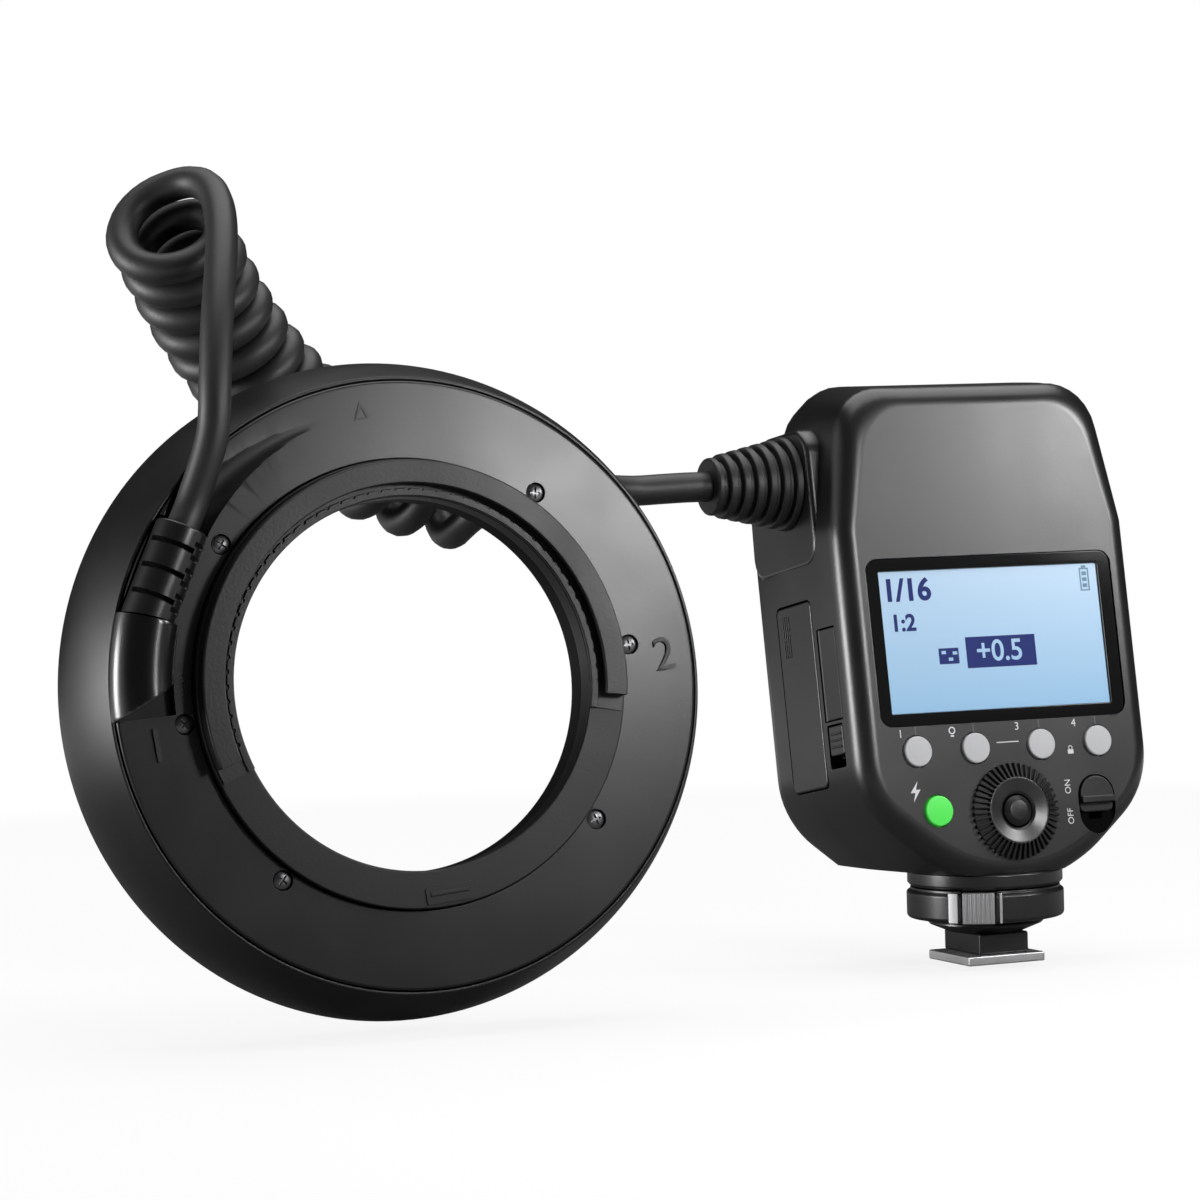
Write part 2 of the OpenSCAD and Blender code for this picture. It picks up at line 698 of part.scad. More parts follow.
module power_switch() {
    rest_z = switch_z + switch_travel / 2;
    color("#202022") unit_frame() {
        on_panel(-slide_gap, switch_sink - 0.2) translate([switch_x, rest_z])
            rounded(switch_w - 2 * switch_play, switch_h - switch_travel - 2 * switch_play, switch_w / 2 - switch_play - sheet);
        on_panel(-1.2, -slide_gap) translate([switch_x, rest_z]) square([switch_w - 2, 1.4], center = true);
        on_panel(switch_sink - 0.2, inner_y) translate([switch_x, rest_z]) square([switch_stem_w, switch_stem_h], center = true);
        on_panel(inner_y, inner_y + button_flange_t) translate([switch_x - 3, rest_z]) square([4.6, 3]);
    }
}

// Boards and power store
module button_board() {
    color("darkgreen") unit_frame() {
        on_panel(board_y, board_y + board_t) intersection() {
            translate([0, belly_z]) circle(unit_w / 2 - board_margin);
            translate([-board_w / 2, dial_z - board_low]) square([board_w, button_z - dial_z + board_low + board_high]);
        }
        for (x = button_x) panel_disc(x, button_z, inner_y + button_flange_t + button_travel + 0.2, board_y, tact_r);
        panel_disc(test_x, test_z, inner_y + button_flange_t + button_travel + 0.2, board_y, tact_r);
        panel_disc(0, dial_z, hub_end + slide_gap + button_flange_t + button_travel + 0.1, board_y, tact_r);
    }
}
module main_board() {
    color("darkgreen") unit_frame() on_panel(main_y, main_y + board_t) translate([main_x, lcd_z - 0.5 - main_h / 2]) square([main_w, main_h]);
}
module flash_capacitor() {
    color("#1a2a55") unit_frame() on_side(-16, -16 + capacitor_l) translate([main_y + board_t + 0.4 + capacitor_r, capacitor_z]) circle(capacitor_r);
}
module battery_pack() {
    color("#28282a") unit_frame() on_side(battery_x, battery_x + battery_l) battery_outline(0);
}
module battery_tray() {
    color("dimgray") unit_frame() difference() {
        on_side(tray_x, tray_end + tray_t) battery_outline(slide_gap + tray_t);
        on_side(tray_x - 1, tray_end) battery_outline(slide_gap);
        blade_slots(seat_gap);
    }
}
module blade_slots(grow) {
    for (z = blade_spots) translate([tray_end - 0.2, battery_y - blade_w / 2 - grow, battery_z + z - blade_h / 2 - grow])
        cube([tray_t + 0.2, blade_w + 2 * grow, blade_h + 2 * grow]);
}
module battery_contacts() { color("goldenrod") unit_frame() blade_slots(0); }
module power_board() {
    color("darkgreen") unit_frame() on_side(tray_end + tray_t, tray_end + tray_t + board_t) battery_outline(-1);
}
module battery_latch() {
    color("#202022") unit_frame() {
        on_side(-side_x + 0.3, -side_x + wall + 0.9) translate([latch_y, latch_z]) square([latch_w, latch_h], center = true);
        on_side(-side_x + wall + 0.9, -side_x + wall + 1.7) translate([latch_y, latch_z])
            square([latch_w + 2 * latch_reach + 2 * slide_gap, latch_h + 2 * latch_reach], center = true);
    }
}
module port_cover() {
    y0 = port_y - port_w / 2;
    y1 = port_y + port_w / 2;
    color("#18181a") unit_frame() translate([0, 0, port_z - port_h / 2]) linear_extrude(port_h) {
            polygon([[-side_x + 0.4, y0], [-side_x + 0.25, y1 - port_pin_r], [-side_x + 0.4 + port_t, y1 - port_lean], [-side_x + 0.4 + port_t, y0 + 0.2]]);
            translate([port_pin_x, y1 - port_pin_r]) circle(port_pin_r);
        }
}
module port_sockets() {
    color("gray") unit_frame() for (z = [-4.6, 4.6]) difference() {
        translate([-side_x + wall + 1.2, main_y + board_t, port_z + z - 3.6]) cube([8, 5.4, 7.2]);
        on_side(-side_x, -side_x + 8) translate([main_y + board_t + 2.7, port_z + z]) circle(1.8);
    }
}

// Boot at the control unit: a ribbed cone on a plug
module unit_cord_boot() {
    step = unit_boot_l / (boot_ribs + 0.5);
    radius = function (x) unit_boot_d / 2 - (unit_boot_d - unit_boot_tip) / 2 * x / unit_boot_l;
    outline = concat([[0, 0]], [for (i = [0 : boot_ribs - 1]) let (x = i * step) each [
        [radius(x), x], [radius(x + step / 2), x + step / 2],
        [radius(x + step / 2) - boot_rib_cut, x + step / 2], [radius(x + step) - boot_rib_cut, x + step]]],
        [[unit_boot_tip / 2, boot_ribs * step], [unit_boot_tip / 2, unit_boot_l], [0, unit_boot_l]]);
    color("#161616") unit_frame() translate([-boot_face, boot_y, boot_z]) rotate([0, -90, 0]) {
        rotate_extrude() polygon(outline);
        translate([0, 0, -4.5]) cylinder(h = 4.6, r = boot_plug_r);
    }
}

// Cord
module cord_unit_tail() { color("#141414") tube(unit_tail_path, [for (p = unit_tail_path) [0, 0, 1]], 10); }
module cord_coil() { color("#141414") tube(coil_path, coil_refs, 6); }
module cord_ring_tail() { color("#141414") tube(ring_tail_path, [for (p = ring_tail_path) [1, 0, 0]], 10); }

// Ring head
module boot_axis() { rotate([0, 0, ring_boot_angle]) translate([ring_boot_r, ring_boot_l / 2, ring_boot_z]) rotate([90, 0, 0]) children(); }
module ring_cord_boot() {
    pitch = ring_boot_l / (ring_boot_slots + 0.8);
    color("#1e1e20") ring_frame() difference() {
        boot_axis() difference() {
            cylinder(h = ring_boot_l, r = ring_boot_d / 2);
            for (i = [1 : ring_boot_slots]) translate([0, 0, i * pitch - slot_w / 2])
                hoop(ring_boot_d / 2 - slot_depth, ring_boot_d, 0, slot_w);
        }
        sector(40, 70, -12, 12, sleeve_from - 0.3, 8);
    }
}
module boot_trough() { boot_axis() translate([0, 0, -1]) cylinder(h = ring_boot_l + 2, r = ring_boot_d / 2 + trough_play); }
module sleeve_room() {
    sleeve_seat(seat_gap);
    rotate([0, 0, sleeve_from - 1]) rotate_extrude(angle = sleeve_sweep + 2) translate([ring_boot_r, 0]) circle(sleeve_r + seat_gap);
}
module sleeve_seat(grow) {
    sector(ring_boot_r - sleeve_base - grow, cover_out_r + grow, -cover_t - grow, 0.1 + grow, sleeve_from - grow, sleeve_sweep + 2 * grow);
}
module cable_sleeve() {
    reach = sleeve_from + sleeve_sweep;
    color("#0c0c0e") ring_frame() difference() {
        union() {
            sector(ring_boot_r - sleeve_base, cover_out_r - seat_gap, -cover_t, 0, sleeve_from, sleeve_sweep);
            intersection() {
                rotate([0, 0, sleeve_from]) rotate_extrude(angle = sleeve_sweep) translate([ring_boot_r, 0]) circle(sleeve_r);
                translate([0, 0, -sheet]) cylinder(h = sleeve_r + 1, r = ring_r);
            }
        }
        translate([0, 0, -mouth_depth]) linear_extrude(20)
            polygon([for (q = [[45, mouth_from], [63, reach + 0.4], [63, reach + 9], [45, reach + 9]]) [q[0] * cos(q[1]), q[0] * sin(q[1])]]);
        intersection() {
            rotate([0, 0, sleeve_from + 4]) rotate_extrude(angle = sleeve_sweep) translate([ring_boot_r, 0]) circle(mouth_r);
            translate([0, 0, -mouth_depth]) cylinder(h = 2 * sleeve_r, r = ring_r);
        }
    }
}
module cord_passage() {
    goal = ring_route[0];
    knee = ring_exit + cord_d * ring_exit_dir;
    d = unit(goal - ring_exit);
    rod(ring_exit - 0.5 * d, goal + 3 * d, cord_d / 2 + cord_play);
    rod(knee - 3 * ring_exit_dir, goal + 3 * unit(goal - knee), cord_d / 2 + cord_play);
}
module ring_front_housing() {
    outer = [for (a = [0 : 7.5 : 90]) [rim_r + (ring_r - rim_r) * sin(a), rim_z - bulge * a / 90]];
    inner = [for (a = [90 : -7.5 : 45]) [rim_r + (ring_r - rim_r) * sin(a) - ring_wall, rim_z - bulge * a / 90]];
    ledge_z = -cover_t - 0.05;
    color("#2a2a2c") difference() {
        ring_frame() rotate_extrude() polygon(concat(outer, [
            [ring_r, 1.5 - ring_depth], [ring_r - 1, -ring_depth], [ring_r - front_land, -ring_depth],
            [ring_r - front_land, 1.7 - ring_depth]], inner, [
            [ledge_r + 3, ledge_z - ledge_t], [ledge_r, ledge_z - ledge_t], [ledge_r, ledge_z],
            [ring_rear_r, ledge_z], [ring_rear_r, rim_z]]));
        cord_passage();
    }
}
module ring_rear_cover() {
    tip = polar(groove_tip[1], groove_tip[0], groove_rise);
    start = [ring_exit_local.x, ring_exit_local.y, groove_rise];
    d = tip - start;
    color("#38383a") difference() {
        ring_frame() difference() {
            hoop(cover_in_r, cover_out_r, -cover_t, 0);
            sleeve_seat(seat_gap);
            boot_trough();
            translate(start) rotate([0, 90, atan2(d.y, d.x)]) cylinder(h = norm(d), r1 = groove_r, r2 = groove_rise);
            cover_screw_holes();
        }
        cord_passage();
    }
}
module at_screws() { for (a = screw_angles) rotate([0, 0, a]) translate([screw_circle, 0, 0]) children(); }
module cover_screw_holes() {
    at_screws() {
        translate([0, 0, -cover_screw_head_h - 0.2]) cylinder(h = 5, r = cover_screw_head_r + seat_gap);
        translate([0, 0, -cover_t - flange_t - 1]) cylinder(h = cover_t + flange_t + 1, r = cover_screw_r + seat_gap);
    }
}
module rear_cover_screws() {
    color("dimgray") ring_frame() at_screws() {
        translate([0, 0, -cover_screw_head_h - 0.2]) cylinder(h = cover_screw_head_h, r = cover_screw_head_r);
        translate([0, 0, -cover_t - flange_t]) cylinder(h = cover_t + flange_t - cover_screw_head_h - 0.2, r = cover_screw_r);
    }
}
module at_latch() { rotate([0, 0, latch_angle]) children(); }
module latch_slot() {
    at_latch() {
        translate([catch_r - slide_gap, -catch_w / 2 - slide_gap, catch_floor])
            cube([catch_l + latch_travel + 2 * slide_gap + spring_t, catch_w + 2 * slide_gap, seat_top - catch_roof - catch_floor]);
        translate([nub_r - slide_gap, -nub_w / 2 - slide_gap, nub_low - slide_gap])
            cube([nub_t + latch_travel + 2 * slide_gap, nub_w + 2 * slide_gap, 10]);
    }
}
module adapter_seat() {
    color("#303032") ring_frame() difference() {
        hoop(bore_r, seat_r, -cover_t, seat_top);
        latch_slot();
    }
}
module adapter_lip() {
    foot = seat_top + plate_t;
    top = seat_top + lip_h;
    color("#262628") ring_frame() rotate([0, 0, lip_start]) rotate_extrude(angle = lip_sweep) polygon([
        [lip_root_r, foot], [lip_out_r, foot], [lip_out_r, top], [lip_in_r, top], [lip_in_r, top - lip_t], [lip_root_r, top - lip_t]]);
}
module detent_ring() {
    from = lip_start - plate_over;
    sweep = lip_sweep + 2 * plate_over;
    color("#3a3a3c") ring_frame() difference() {
        union() {
            sector(detent_in_r, lip_out_r, seat_top, seat_top + plate_t, from, sweep);
            sector(detent_in_r, detent_out_r, seat_top, detent_top, from, sweep);
        }
        for (i = [1 : detent_teeth - 1]) rotate([0, 0, lip_start + lip_sweep * i / detent_teeth])
            translate([detent_out_r, 0, seat_top + plate_t + 0.1]) cylinder(h = 2, r = tooth_r);
    }
}
module adapter_latch() {
    low = catch_floor + slide_gap;
    color("#2c2c2e") ring_frame() at_latch() {
        translate([catch_r, -catch_w / 2, low]) cube([catch_l, catch_w, seat_top - catch_roof - slide_gap - low]);
        translate([nub_r, -nub_w / 2, nub_low]) cube([nub_t, nub_w, seat_top + catch_proud - nub_low]);
    }
}
module latch_spring() {
    reach = latch_travel + slide_gap;
    near = [for (y = [-5 : 1 : 5]) [catch_r + catch_l + seat_gap / 2 + (reach - seat_gap) * pow(y / 5, 2), y]];
    far = [for (y = [5 : -1 : -5]) [catch_r + catch_l + seat_gap / 2 + spring_t + (reach - seat_gap) * pow(y / 5, 2), y]];
    color("silver") ring_frame() at_latch() translate([0, 0, catch_floor + slide_gap]) linear_extrude(1.6) polygon(concat(near, far));
}
module bore_tube() {
    color("#1a1a1c") ring_frame() difference() {
        union() {
            rotate_extrude() polygon([[bore_r, -cover_t], [bore_r + tube_wall, -cover_t], [bore_r + tube_wall, throat_z],
                [flare_r + tube_wall, diffuser_z - 1], [flare_r, diffuser_z - 1], [bore_r, throat_z]]);
            hoop(bore_r, flange_r, -cover_t - flange_t, -cover_t);
        }
        cover_screw_holes();
        boot_trough();
    }
}
module front_diffuser() {
    front = diffuser_z - diffuser_t;
    rim = ring_r - front_land - 0.2;
    color("whitesmoke") ring_frame() rotate_extrude() polygon([
        [flare_r - 0.1, diffuser_z - 1.1], [flare_r + tube_wall + 0.2, diffuser_z - 1.1], [flare_r + tube_wall + 0.2, diffuser_z],
        [rim, diffuser_z], [rim, diffuser_z - 1.2], [rim - 2.6, front], [flare_r + 4.6, front], [flare_r - 0.1, front + 0.8]]);
}
module reflector(from) {
    outer = reflector_out_r;
    inner = reflector_in_r;
    floor_z = reflector_floor;
    front = diffuser_z + 0.3;
    rotate([0, 0, from]) rotate_extrude(angle = reflector_sweep) polygon([
        [inner, front], [inner + 4, floor_z], [outer - 4, floor_z], [outer, front], [outer - reflector_t, front],
        [outer - 4.6, floor_z - reflector_t], [inner + 4.6, floor_z - reflector_t], [inner + reflector_t, front]]);
}
module flash_tube(from) {
    rotate([0, 0, from]) rotate_extrude(angle = tube_sweep) translate([tube_circle, tube_z]) circle(tube_r);
}
module reflector_upper() { color("white") ring_frame() reflector(90 - reflector_sweep / 2); }
module reflector_lower() { color("white") ring_frame() reflector(270 - reflector_sweep / 2); }
module flash_tube_upper() { color("lightcyan") ring_frame() flash_tube(90 - tube_sweep / 2); }
module flash_tube_lower() { color("lightcyan") ring_frame() flash_tube(270 - tube_sweep / 2); }
module focus_lamps() {
    color("khaki") ring_frame() for (a = [0, 180]) rotate([0, 0, a]) {
        translate([tube_circle - lamp_l / 2, -lamp_w / 2, diffuser_z + 1]) cube([lamp_l, lamp_w, lamp_h]);
        translate([tube_circle, 0, diffuser_z + 0.3]) cylinder(h = 0.8, r = lamp_lens_r);
    }
}
module trigger_board() {
    color("darkgreen") ring_frame() {
        sector(flange_r + 0.9, ledge_r - 0.4, -cover_t - board_t, -cover_t, -140, 235);
        for (a = [-120 : 40 : 80]) rotate([0, 0, a]) translate([flange_r + 2, -3, -cover_t - board_t - 2.4]) cube([4.4, 6, 2.6]);
    }
}

foot_plate();
foot_stem();
foot_screws();
contact_pins();
lock_pin();
lock_ring();
lock_trim();
lock_release_button();
neck_disc();
neck_screws();
rear_panel_shell();
front_shell();
body_screws();
lcd_window();
lcd_module();
function_button_1();
function_button_2();
function_button_3();
function_button_4();
test_button();
control_dial();
dial_encoder();
set_button();
power_switch();
button_board();
main_board();
flash_capacitor();
battery_pack();
battery_tray();
battery_contacts();
power_board();
battery_latch();
port_cover();
port_sockets();
unit_cord_boot();
cord_unit_tail();
cord_coil();
cord_ring_tail();
ring_cord_boot();
cable_sleeve();
ring_front_housing();
ring_rear_cover();
rear_cover_screws();
adapter_seat();
adapter_lip();
detent_ring();
adapter_latch();
latch_spring();
bore_tube();
front_diffuser();
reflector_upper();
reflector_lower();
flash_tube_upper();
flash_tube_lower();
focus_lamps();
trigger_board();
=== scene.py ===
# %% [markdown]
# # A macro ring flash
#
# The object is a ring-shaped light head for the front of a lens, a curly cord, and a control unit on a shoe foot.
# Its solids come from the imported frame. This lesson dresses them: each visible piece gets soft edges and a finish,
# and moves with the body that carries it.

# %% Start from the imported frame
from math import cos, pi, radians, sin, tan

import bmesh
import bpy
from mathutils import Matrix, Vector
from mathutils.geometry import convex_hull_2d


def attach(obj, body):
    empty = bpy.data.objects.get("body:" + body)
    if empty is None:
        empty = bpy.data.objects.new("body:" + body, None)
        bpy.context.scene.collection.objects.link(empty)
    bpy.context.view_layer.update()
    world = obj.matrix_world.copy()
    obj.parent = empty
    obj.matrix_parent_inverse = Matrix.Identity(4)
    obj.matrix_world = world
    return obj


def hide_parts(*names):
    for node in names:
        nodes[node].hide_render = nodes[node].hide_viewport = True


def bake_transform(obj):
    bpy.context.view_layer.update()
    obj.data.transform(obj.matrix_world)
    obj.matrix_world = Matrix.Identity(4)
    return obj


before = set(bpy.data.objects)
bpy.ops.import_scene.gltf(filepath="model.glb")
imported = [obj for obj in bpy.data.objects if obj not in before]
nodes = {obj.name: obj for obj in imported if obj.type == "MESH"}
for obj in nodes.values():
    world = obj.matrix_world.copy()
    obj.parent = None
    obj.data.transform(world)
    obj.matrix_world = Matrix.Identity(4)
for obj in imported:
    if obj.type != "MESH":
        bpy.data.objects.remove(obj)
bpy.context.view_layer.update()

# %% [markdown]
# ## Frames to model in
#
# A designer draws the panel flat and the ring flat, in millimetres, and tilts them later. Each piece here is drawn in
# the frame that suits it, and one matrix per frame turns it and brings it to metres.

# %% Frames of the panel, the side and the ring


def at(x, y, z=0.0):
    return Matrix.Translation((x, y, z))


def spun(angle, axis="Z"):
    return Matrix.Rotation(radians(angle), 4, axis)


LEAN = 9.44
PANEL_Y = 19.5
METRES = Matrix.Scale(0.001, 4)
FOOT = METRES.copy()
UNIT = METRES @ at(0, -PANEL_Y) @ spun(-LEAN, "X")
# On the panel, x runs right, y up and z out towards the user
PANEL = UNIT @ spun(90, "X")
# On the battery side, x runs towards the user, y up and z out
SIDE = UNIT @ Matrix(((0, 0, -1, 0), (-1, 0, 0, 0), (0, 1, 0, 0), (0, 0, 0, 1)))
RING_CENTRE = Vector((-144.85, -31.82, 68.4))
# On the ring, z runs out of the rear face, towards the user
RING = METRES @ at(*RING_CENTRE) @ spun(-2.9) @ spun(83.2, "X") @ spun(7)
print("ring centre in metres:", [round(c, 4) for c in RING.translation])

# %% [markdown]
# ## The camera
#
# The photograph was taken with a long lens, from the ring's side and a little above. The place and the turn below were
# fitted to the panel, the foot and the ring together.

# %% Camera at the photograph's angle


def placed(name, data):
    """A new object in the scene."""
    obj = bpy.data.objects.new(name, data)
    bpy.context.collection.objects.link(obj)
    return obj


camera = placed("camera", bpy.data.cameras.new("camera"))
camera.data.lens = 132.75
camera.data.sensor_width = 36
camera.data.clip_start = 0.05
right = Vector((0.9120, -0.4093, -0.0279)).normalized()
ahead = Vector((0.4082, 0.9121, -0.0389)).normalized()
above = right.cross(ahead)
turn = Matrix((right, above, -ahead)).transposed().to_4x4()
camera.matrix_world = at(-0.4652, -0.8395, 0.1176) @ turn
bpy.context.scene.camera = camera

# %% [markdown]
# ## Light and floor
#
# Black plastic is drawn by what it mirrors. Two small soft lamps stand close at the front right, one for the ring's
# rear face and one for the panel, so each fades from light at its upper right to dark at its lower left. The camera
# sees a white room all round. What the object mirrors is dark, apart from a white part of that room at the far left and
# a soft lamp beside it, which draw the left flanks of the ring and the unit.

# %% Helpers for shader nodes


def add_node(tree, kind, values=None, **settings):
    """A shader node, with its properties set first and then its inputs."""
    node = tree.nodes.new("ShaderNode" + kind)
    for name, value in settings.items():
        setattr(node, name, value)
    for socket, value in (values or {}).items():
        node.inputs[socket].default_value = value
    return node


def wire(tree, *links):
    """Links an output of one node to an input of another, by name or by number."""
    for source, output, target, entry in links:
        tree.links.new(source.outputs[output], target.inputs[entry])


def seen_directly(tree):
    """Two masks: rays of the camera, and mirrored or transmitted rays."""
    rays = add_node(tree, "LightPath")
    mirrored = add_node(tree, "Math", operation="MAXIMUM")
    wire(tree, (rays, "Is Glossy Ray", mirrored, 0), (rays, "Is Transmission Ray", mirrored, 1))
    return (rays, "Is Camera Ray"), (mirrored, "Value")


# %% World
WHITE = (1, 1, 1, 1)
LIT_SIDE = (-0.92, 0.3, -0.2)
scene = bpy.context.scene
scene.view_settings.view_transform = "Standard"
world = bpy.data.worlds.new("studio")
scene.world = world
world.use_nodes = True
sky = world.node_tree
room = sky.nodes["Background"]
room.inputs["Color"].default_value = WHITE
room.inputs["Strength"].default_value = 0.02
paper = add_node(sky, "Background", {"Color": WHITE, "Strength": 1})
direct, mirrored = seen_directly(sky)
way = add_node(sky, "TexCoord")
toward = add_node(sky, "VectorMath", {1: LIT_SIDE}, operation="DOT_PRODUCT")
lit = add_node(sky, "MapRange", {"From Min": 0.62, "From Max": 0.95})
either = add_node(sky, "Math", operation="MULTIPLY_ADD", use_clamp=True)
choice = add_node(sky, "MixShader")
wire(sky, (way, "Generated", toward, 0), (toward, "Value", lit, "Value"), (lit, "Result", either, 0),
     (*mirrored, either, 1), (*direct, either, 2), (either, "Value", choice, "Fac"), (room, "Background", choice, 1),
     (paper, "Background", choice, 2), (choice, "Shader", sky.nodes["World Output"], "Surface"))

# %% Lamps
KEY_AIM = (-0.06, -0.02, 0.09)


def soft_lamp(name, place, aim, width, height, power):
    lamp = placed(name, bpy.data.lights.new(name, "AREA"))
    lamp.data.shape = "RECTANGLE"
    lamp.data.size, lamp.data.size_y = width, height
    lamp.data.energy = power
    turn = (Vector(aim) - Vector(place)).to_track_quat("-Z", "Y").to_matrix().to_4x4()
    lamp.matrix_world = at(*place) @ turn


soft_lamp("ring_key", (0.018, -0.372, 0.183), KEY_AIM, 0.07, 0.07, 0.50)
soft_lamp("panel_key", (0.223, -0.260, 0.220), KEY_AIM, 0.08, 0.08, 0.54)
soft_lamp("front_fill", (0.6, -1.4, 0.8), (-0.06, 0, 0.08), 0.9, 0.9, 0.5)
soft_lamp("overhead", (0.25, 0.25, 1.5), (0.25, 0.25, 0), 1.8, 1.8, 24)
soft_lamp("left_flank", (-0.87, 0.18, 0.13), (-0.2, -0.03, 0.07), 0.25, 0.28, 4.2)

# %% [markdown]
# The floor is pale paper to the camera and dark grey to other rays, so it throws little light back at the black
# plastic. Near the object it keeps a faint shadow, and further off it fades into the white room, for the camera and
# for mirrored rays alike.

# %% Floor
FLOOR_MIDDLE = (-0.08, 0.02, -0.0012)


def bench(name, shape):
    """A shape as an object, to show or to cut with."""
    mesh = bpy.data.meshes.new(name)
    shape.to_mesh(mesh)
    shape.free()
    return placed(name, mesh)


def bare_finish(name):
    """A new finish, with its node tree and its main shader."""
    material = bpy.data.materials.new(name)
    material.use_nodes = True
    return material, material.node_tree, material.node_tree.nodes["Principled BSDF"]


sweep = bmesh.new()
bmesh.ops.create_circle(sweep, cap_ends=True, segments=96, radius=0.75)
bmesh.ops.translate(sweep, verts=sweep.verts, vec=FLOOR_MIDDLE)
floor = bench("floor", sweep)
floor_finish, tree, shader = bare_finish("floor_paper")
shader.inputs["Roughness"].default_value = 0.9
paper_tone = add_node(tree, "Mix", {"A": (0.15, 0.15, 0.15, 1), "B": (0.94, 0.94, 0.94, 1)}, data_type="RGBA")
glow = add_node(tree, "Emission")
spot = add_node(tree, "TexCoord")
away = add_node(tree, "VectorMath", {1: FLOOR_MIDDLE}, operation="DISTANCE")
far = add_node(tree, "MapRange", {"From Min": 0.2, "From Max": 0.55}, interpolation_type="SMOOTHSTEP")
near = add_node(tree, "Math", {1: 0.86}, operation="MAXIMUM")
faint = add_node(tree, "Math", operation="MULTIPLY")
share = add_node(tree, "Math", operation="MULTIPLY_ADD", use_clamp=True)
mix = add_node(tree, "MixShader")
direct, mirrored = seen_directly(tree)
wire(tree, (spot, "Object", away, 0), (away, "Value", far, "Value"), (far, "Result", near, 0),
     (far, "Result", faint, 0), (*mirrored, faint, 1), (*direct, paper_tone, "Factor"),
     (paper_tone, "Result", shader, "Base Color"), (*direct, share, 0), (near, "Value", share, 1),
     (faint, "Value", share, 2), (share, "Value", mix, "Fac"), (shader, "BSDF", mix, 1), (glow, "Emission", mix, 2),
     (mix, "Shader", tree.nodes["Material Output"], "Surface"))
floor.data.materials.append(floor_finish)

# %% [markdown]
# ## Finishes
#
# The plastics differ by their moulded grain: fine on the ring's rear cover, finer on the shells, none on the polished
# sleeve. One node group makes that grain, and each finish sets its own scale and depth.

# %% The moulded grain, shared by every finish
grain = bpy.data.node_groups.new("moulded_grain", "ShaderNodeTree")
for name, kind, side in (("Vector", "NodeSocketVector", "INPUT"), ("Scale", "NodeSocketFloat", "INPUT"),
                         ("Tone", "NodeSocketFloat", "OUTPUT"), ("Height", "NodeSocketFloat", "OUTPUT")):
    grain.interface.new_socket(name, in_out=side, socket_type=kind)
entry, leave = grain.nodes.new("NodeGroupInput"), grain.nodes.new("NodeGroupOutput")
pores = add_node(grain, "TexNoise", {"Detail": 3})
patches = add_node(grain, "TexNoise", {"Scale": 60, "Detail": 2})
together = add_node(grain, "Math", {1: 0.35}, operation="MULTIPLY_ADD")
wire(grain, (entry, "Vector", pores, "Vector"), (entry, "Scale", pores, "Scale"), (entry, "Vector", patches, "Vector"),
     (pores, "Fac", together, 0), (patches, "Fac", together, 2), (together, "Value", leave, "Tone"),
     (pores, "Fac", leave, "Height"))


def finish(name, colour, rough, scale=2600, depth=0.15, spread=0.06, vary=0.12, **sockets):
    """A finish with the moulded grain in its colour, its roughness and its bump."""
    material, tree, shader = bare_finish(name)
    place = add_node(tree, "TexCoord")
    surface = add_node(tree, "Group", {"Scale": scale}, node_tree=grain)
    darker, lighter = [c * (1 - vary) for c in colour], [min(1, c * (1 + vary)) for c in colour]
    tint = add_node(tree, "Mix", {"A": (*darker, 1), "B": (*lighter, 1)}, data_type="RGBA")
    sheen = add_node(tree, "MapRange", {"From Min": 0.4, "From Max": 1.0, "To Min": max(0.02, rough - spread),
                                        "To Max": min(1, rough + spread)})
    bump = add_node(tree, "Bump", {"Strength": depth, "Distance": 0.0002})
    wire(tree, (place, "Object", surface, "Vector"), (surface, "Tone", tint, "Factor"),
         (tint, "Result", shader, "Base Color"), (surface, "Tone", sheen, "Value"),
         (sheen, "Result", shader, "Roughness"), (surface, "Height", bump, "Height"),
         (bump, "Normal", shader, "Normal"))
    for socket, value in sockets.items():
        shader.inputs[socket.replace("_", " ")].default_value = value
    return material


# %% The finishes
shell_black = finish("shell_black", (0.011, 0.011, 0.0115), 0.32, scale=2200, depth=0.05, spread=0.04,
                     Specular_IOR_Level=0.75)
cover_black = finish("cover_black", (0.013, 0.013, 0.0135), 0.30, scale=1800, depth=0.05, spread=0.03,
                     Specular_IOR_Level=0.55)
housing_black = finish("housing_black", (0.009, 0.009, 0.0095), 0.36, scale=2600, depth=0.06)
lip_black = finish("lip_black", (0.016, 0.016, 0.017), 0.42, scale=1500, depth=0.2, Specular_IOR_Level=0.5)
seat_black = finish("seat_black", (0.013, 0.013, 0.0135), 0.44, scale=1800, depth=0.1, Specular_IOR_Level=0.4)
gloss_black = finish("gloss_black", (0.008, 0.008, 0.009), 0.24, depth=0.0, spread=0.03, Specular_IOR_Level=0.7)
relief_black = finish("relief_black", (0.012, 0.012, 0.0125), 0.30, depth=0.06, spread=0.04, Specular_IOR_Level=0.6)
bore_black = finish("bore_black", (0.008, 0.008, 0.008), 0.6, depth=0.1, Specular_IOR_Level=0.1)
rubber_black = finish("rubber_black", (0.016, 0.016, 0.0165), 0.5, scale=1200, depth=0.10, Specular_IOR_Level=0.6)
button_grey = finish("button_grey", (0.60, 0.605, 0.62), 0.62, scale=3200, depth=0.3, vary=0.08)
test_green = finish("test_green", (0.10, 0.93, 0.11), 0.35, depth=0.05, vary=0.05,
                    Emission_Color=(0.06, 0.75, 0.07, 1), Emission_Strength=0.12)
bright_steel = finish("bright_steel", (0.80, 0.80, 0.81), 0.42, scale=900, depth=0.08, vary=0.05, Metallic=1)
dark_steel = finish("dark_steel", (0.17, 0.17, 0.175), 0.38, depth=0.06, Metallic=1)
plated_gold = finish("plated_gold", (0.80, 0.58, 0.22), 0.25, depth=0.05, vary=0.05, Metallic=1)
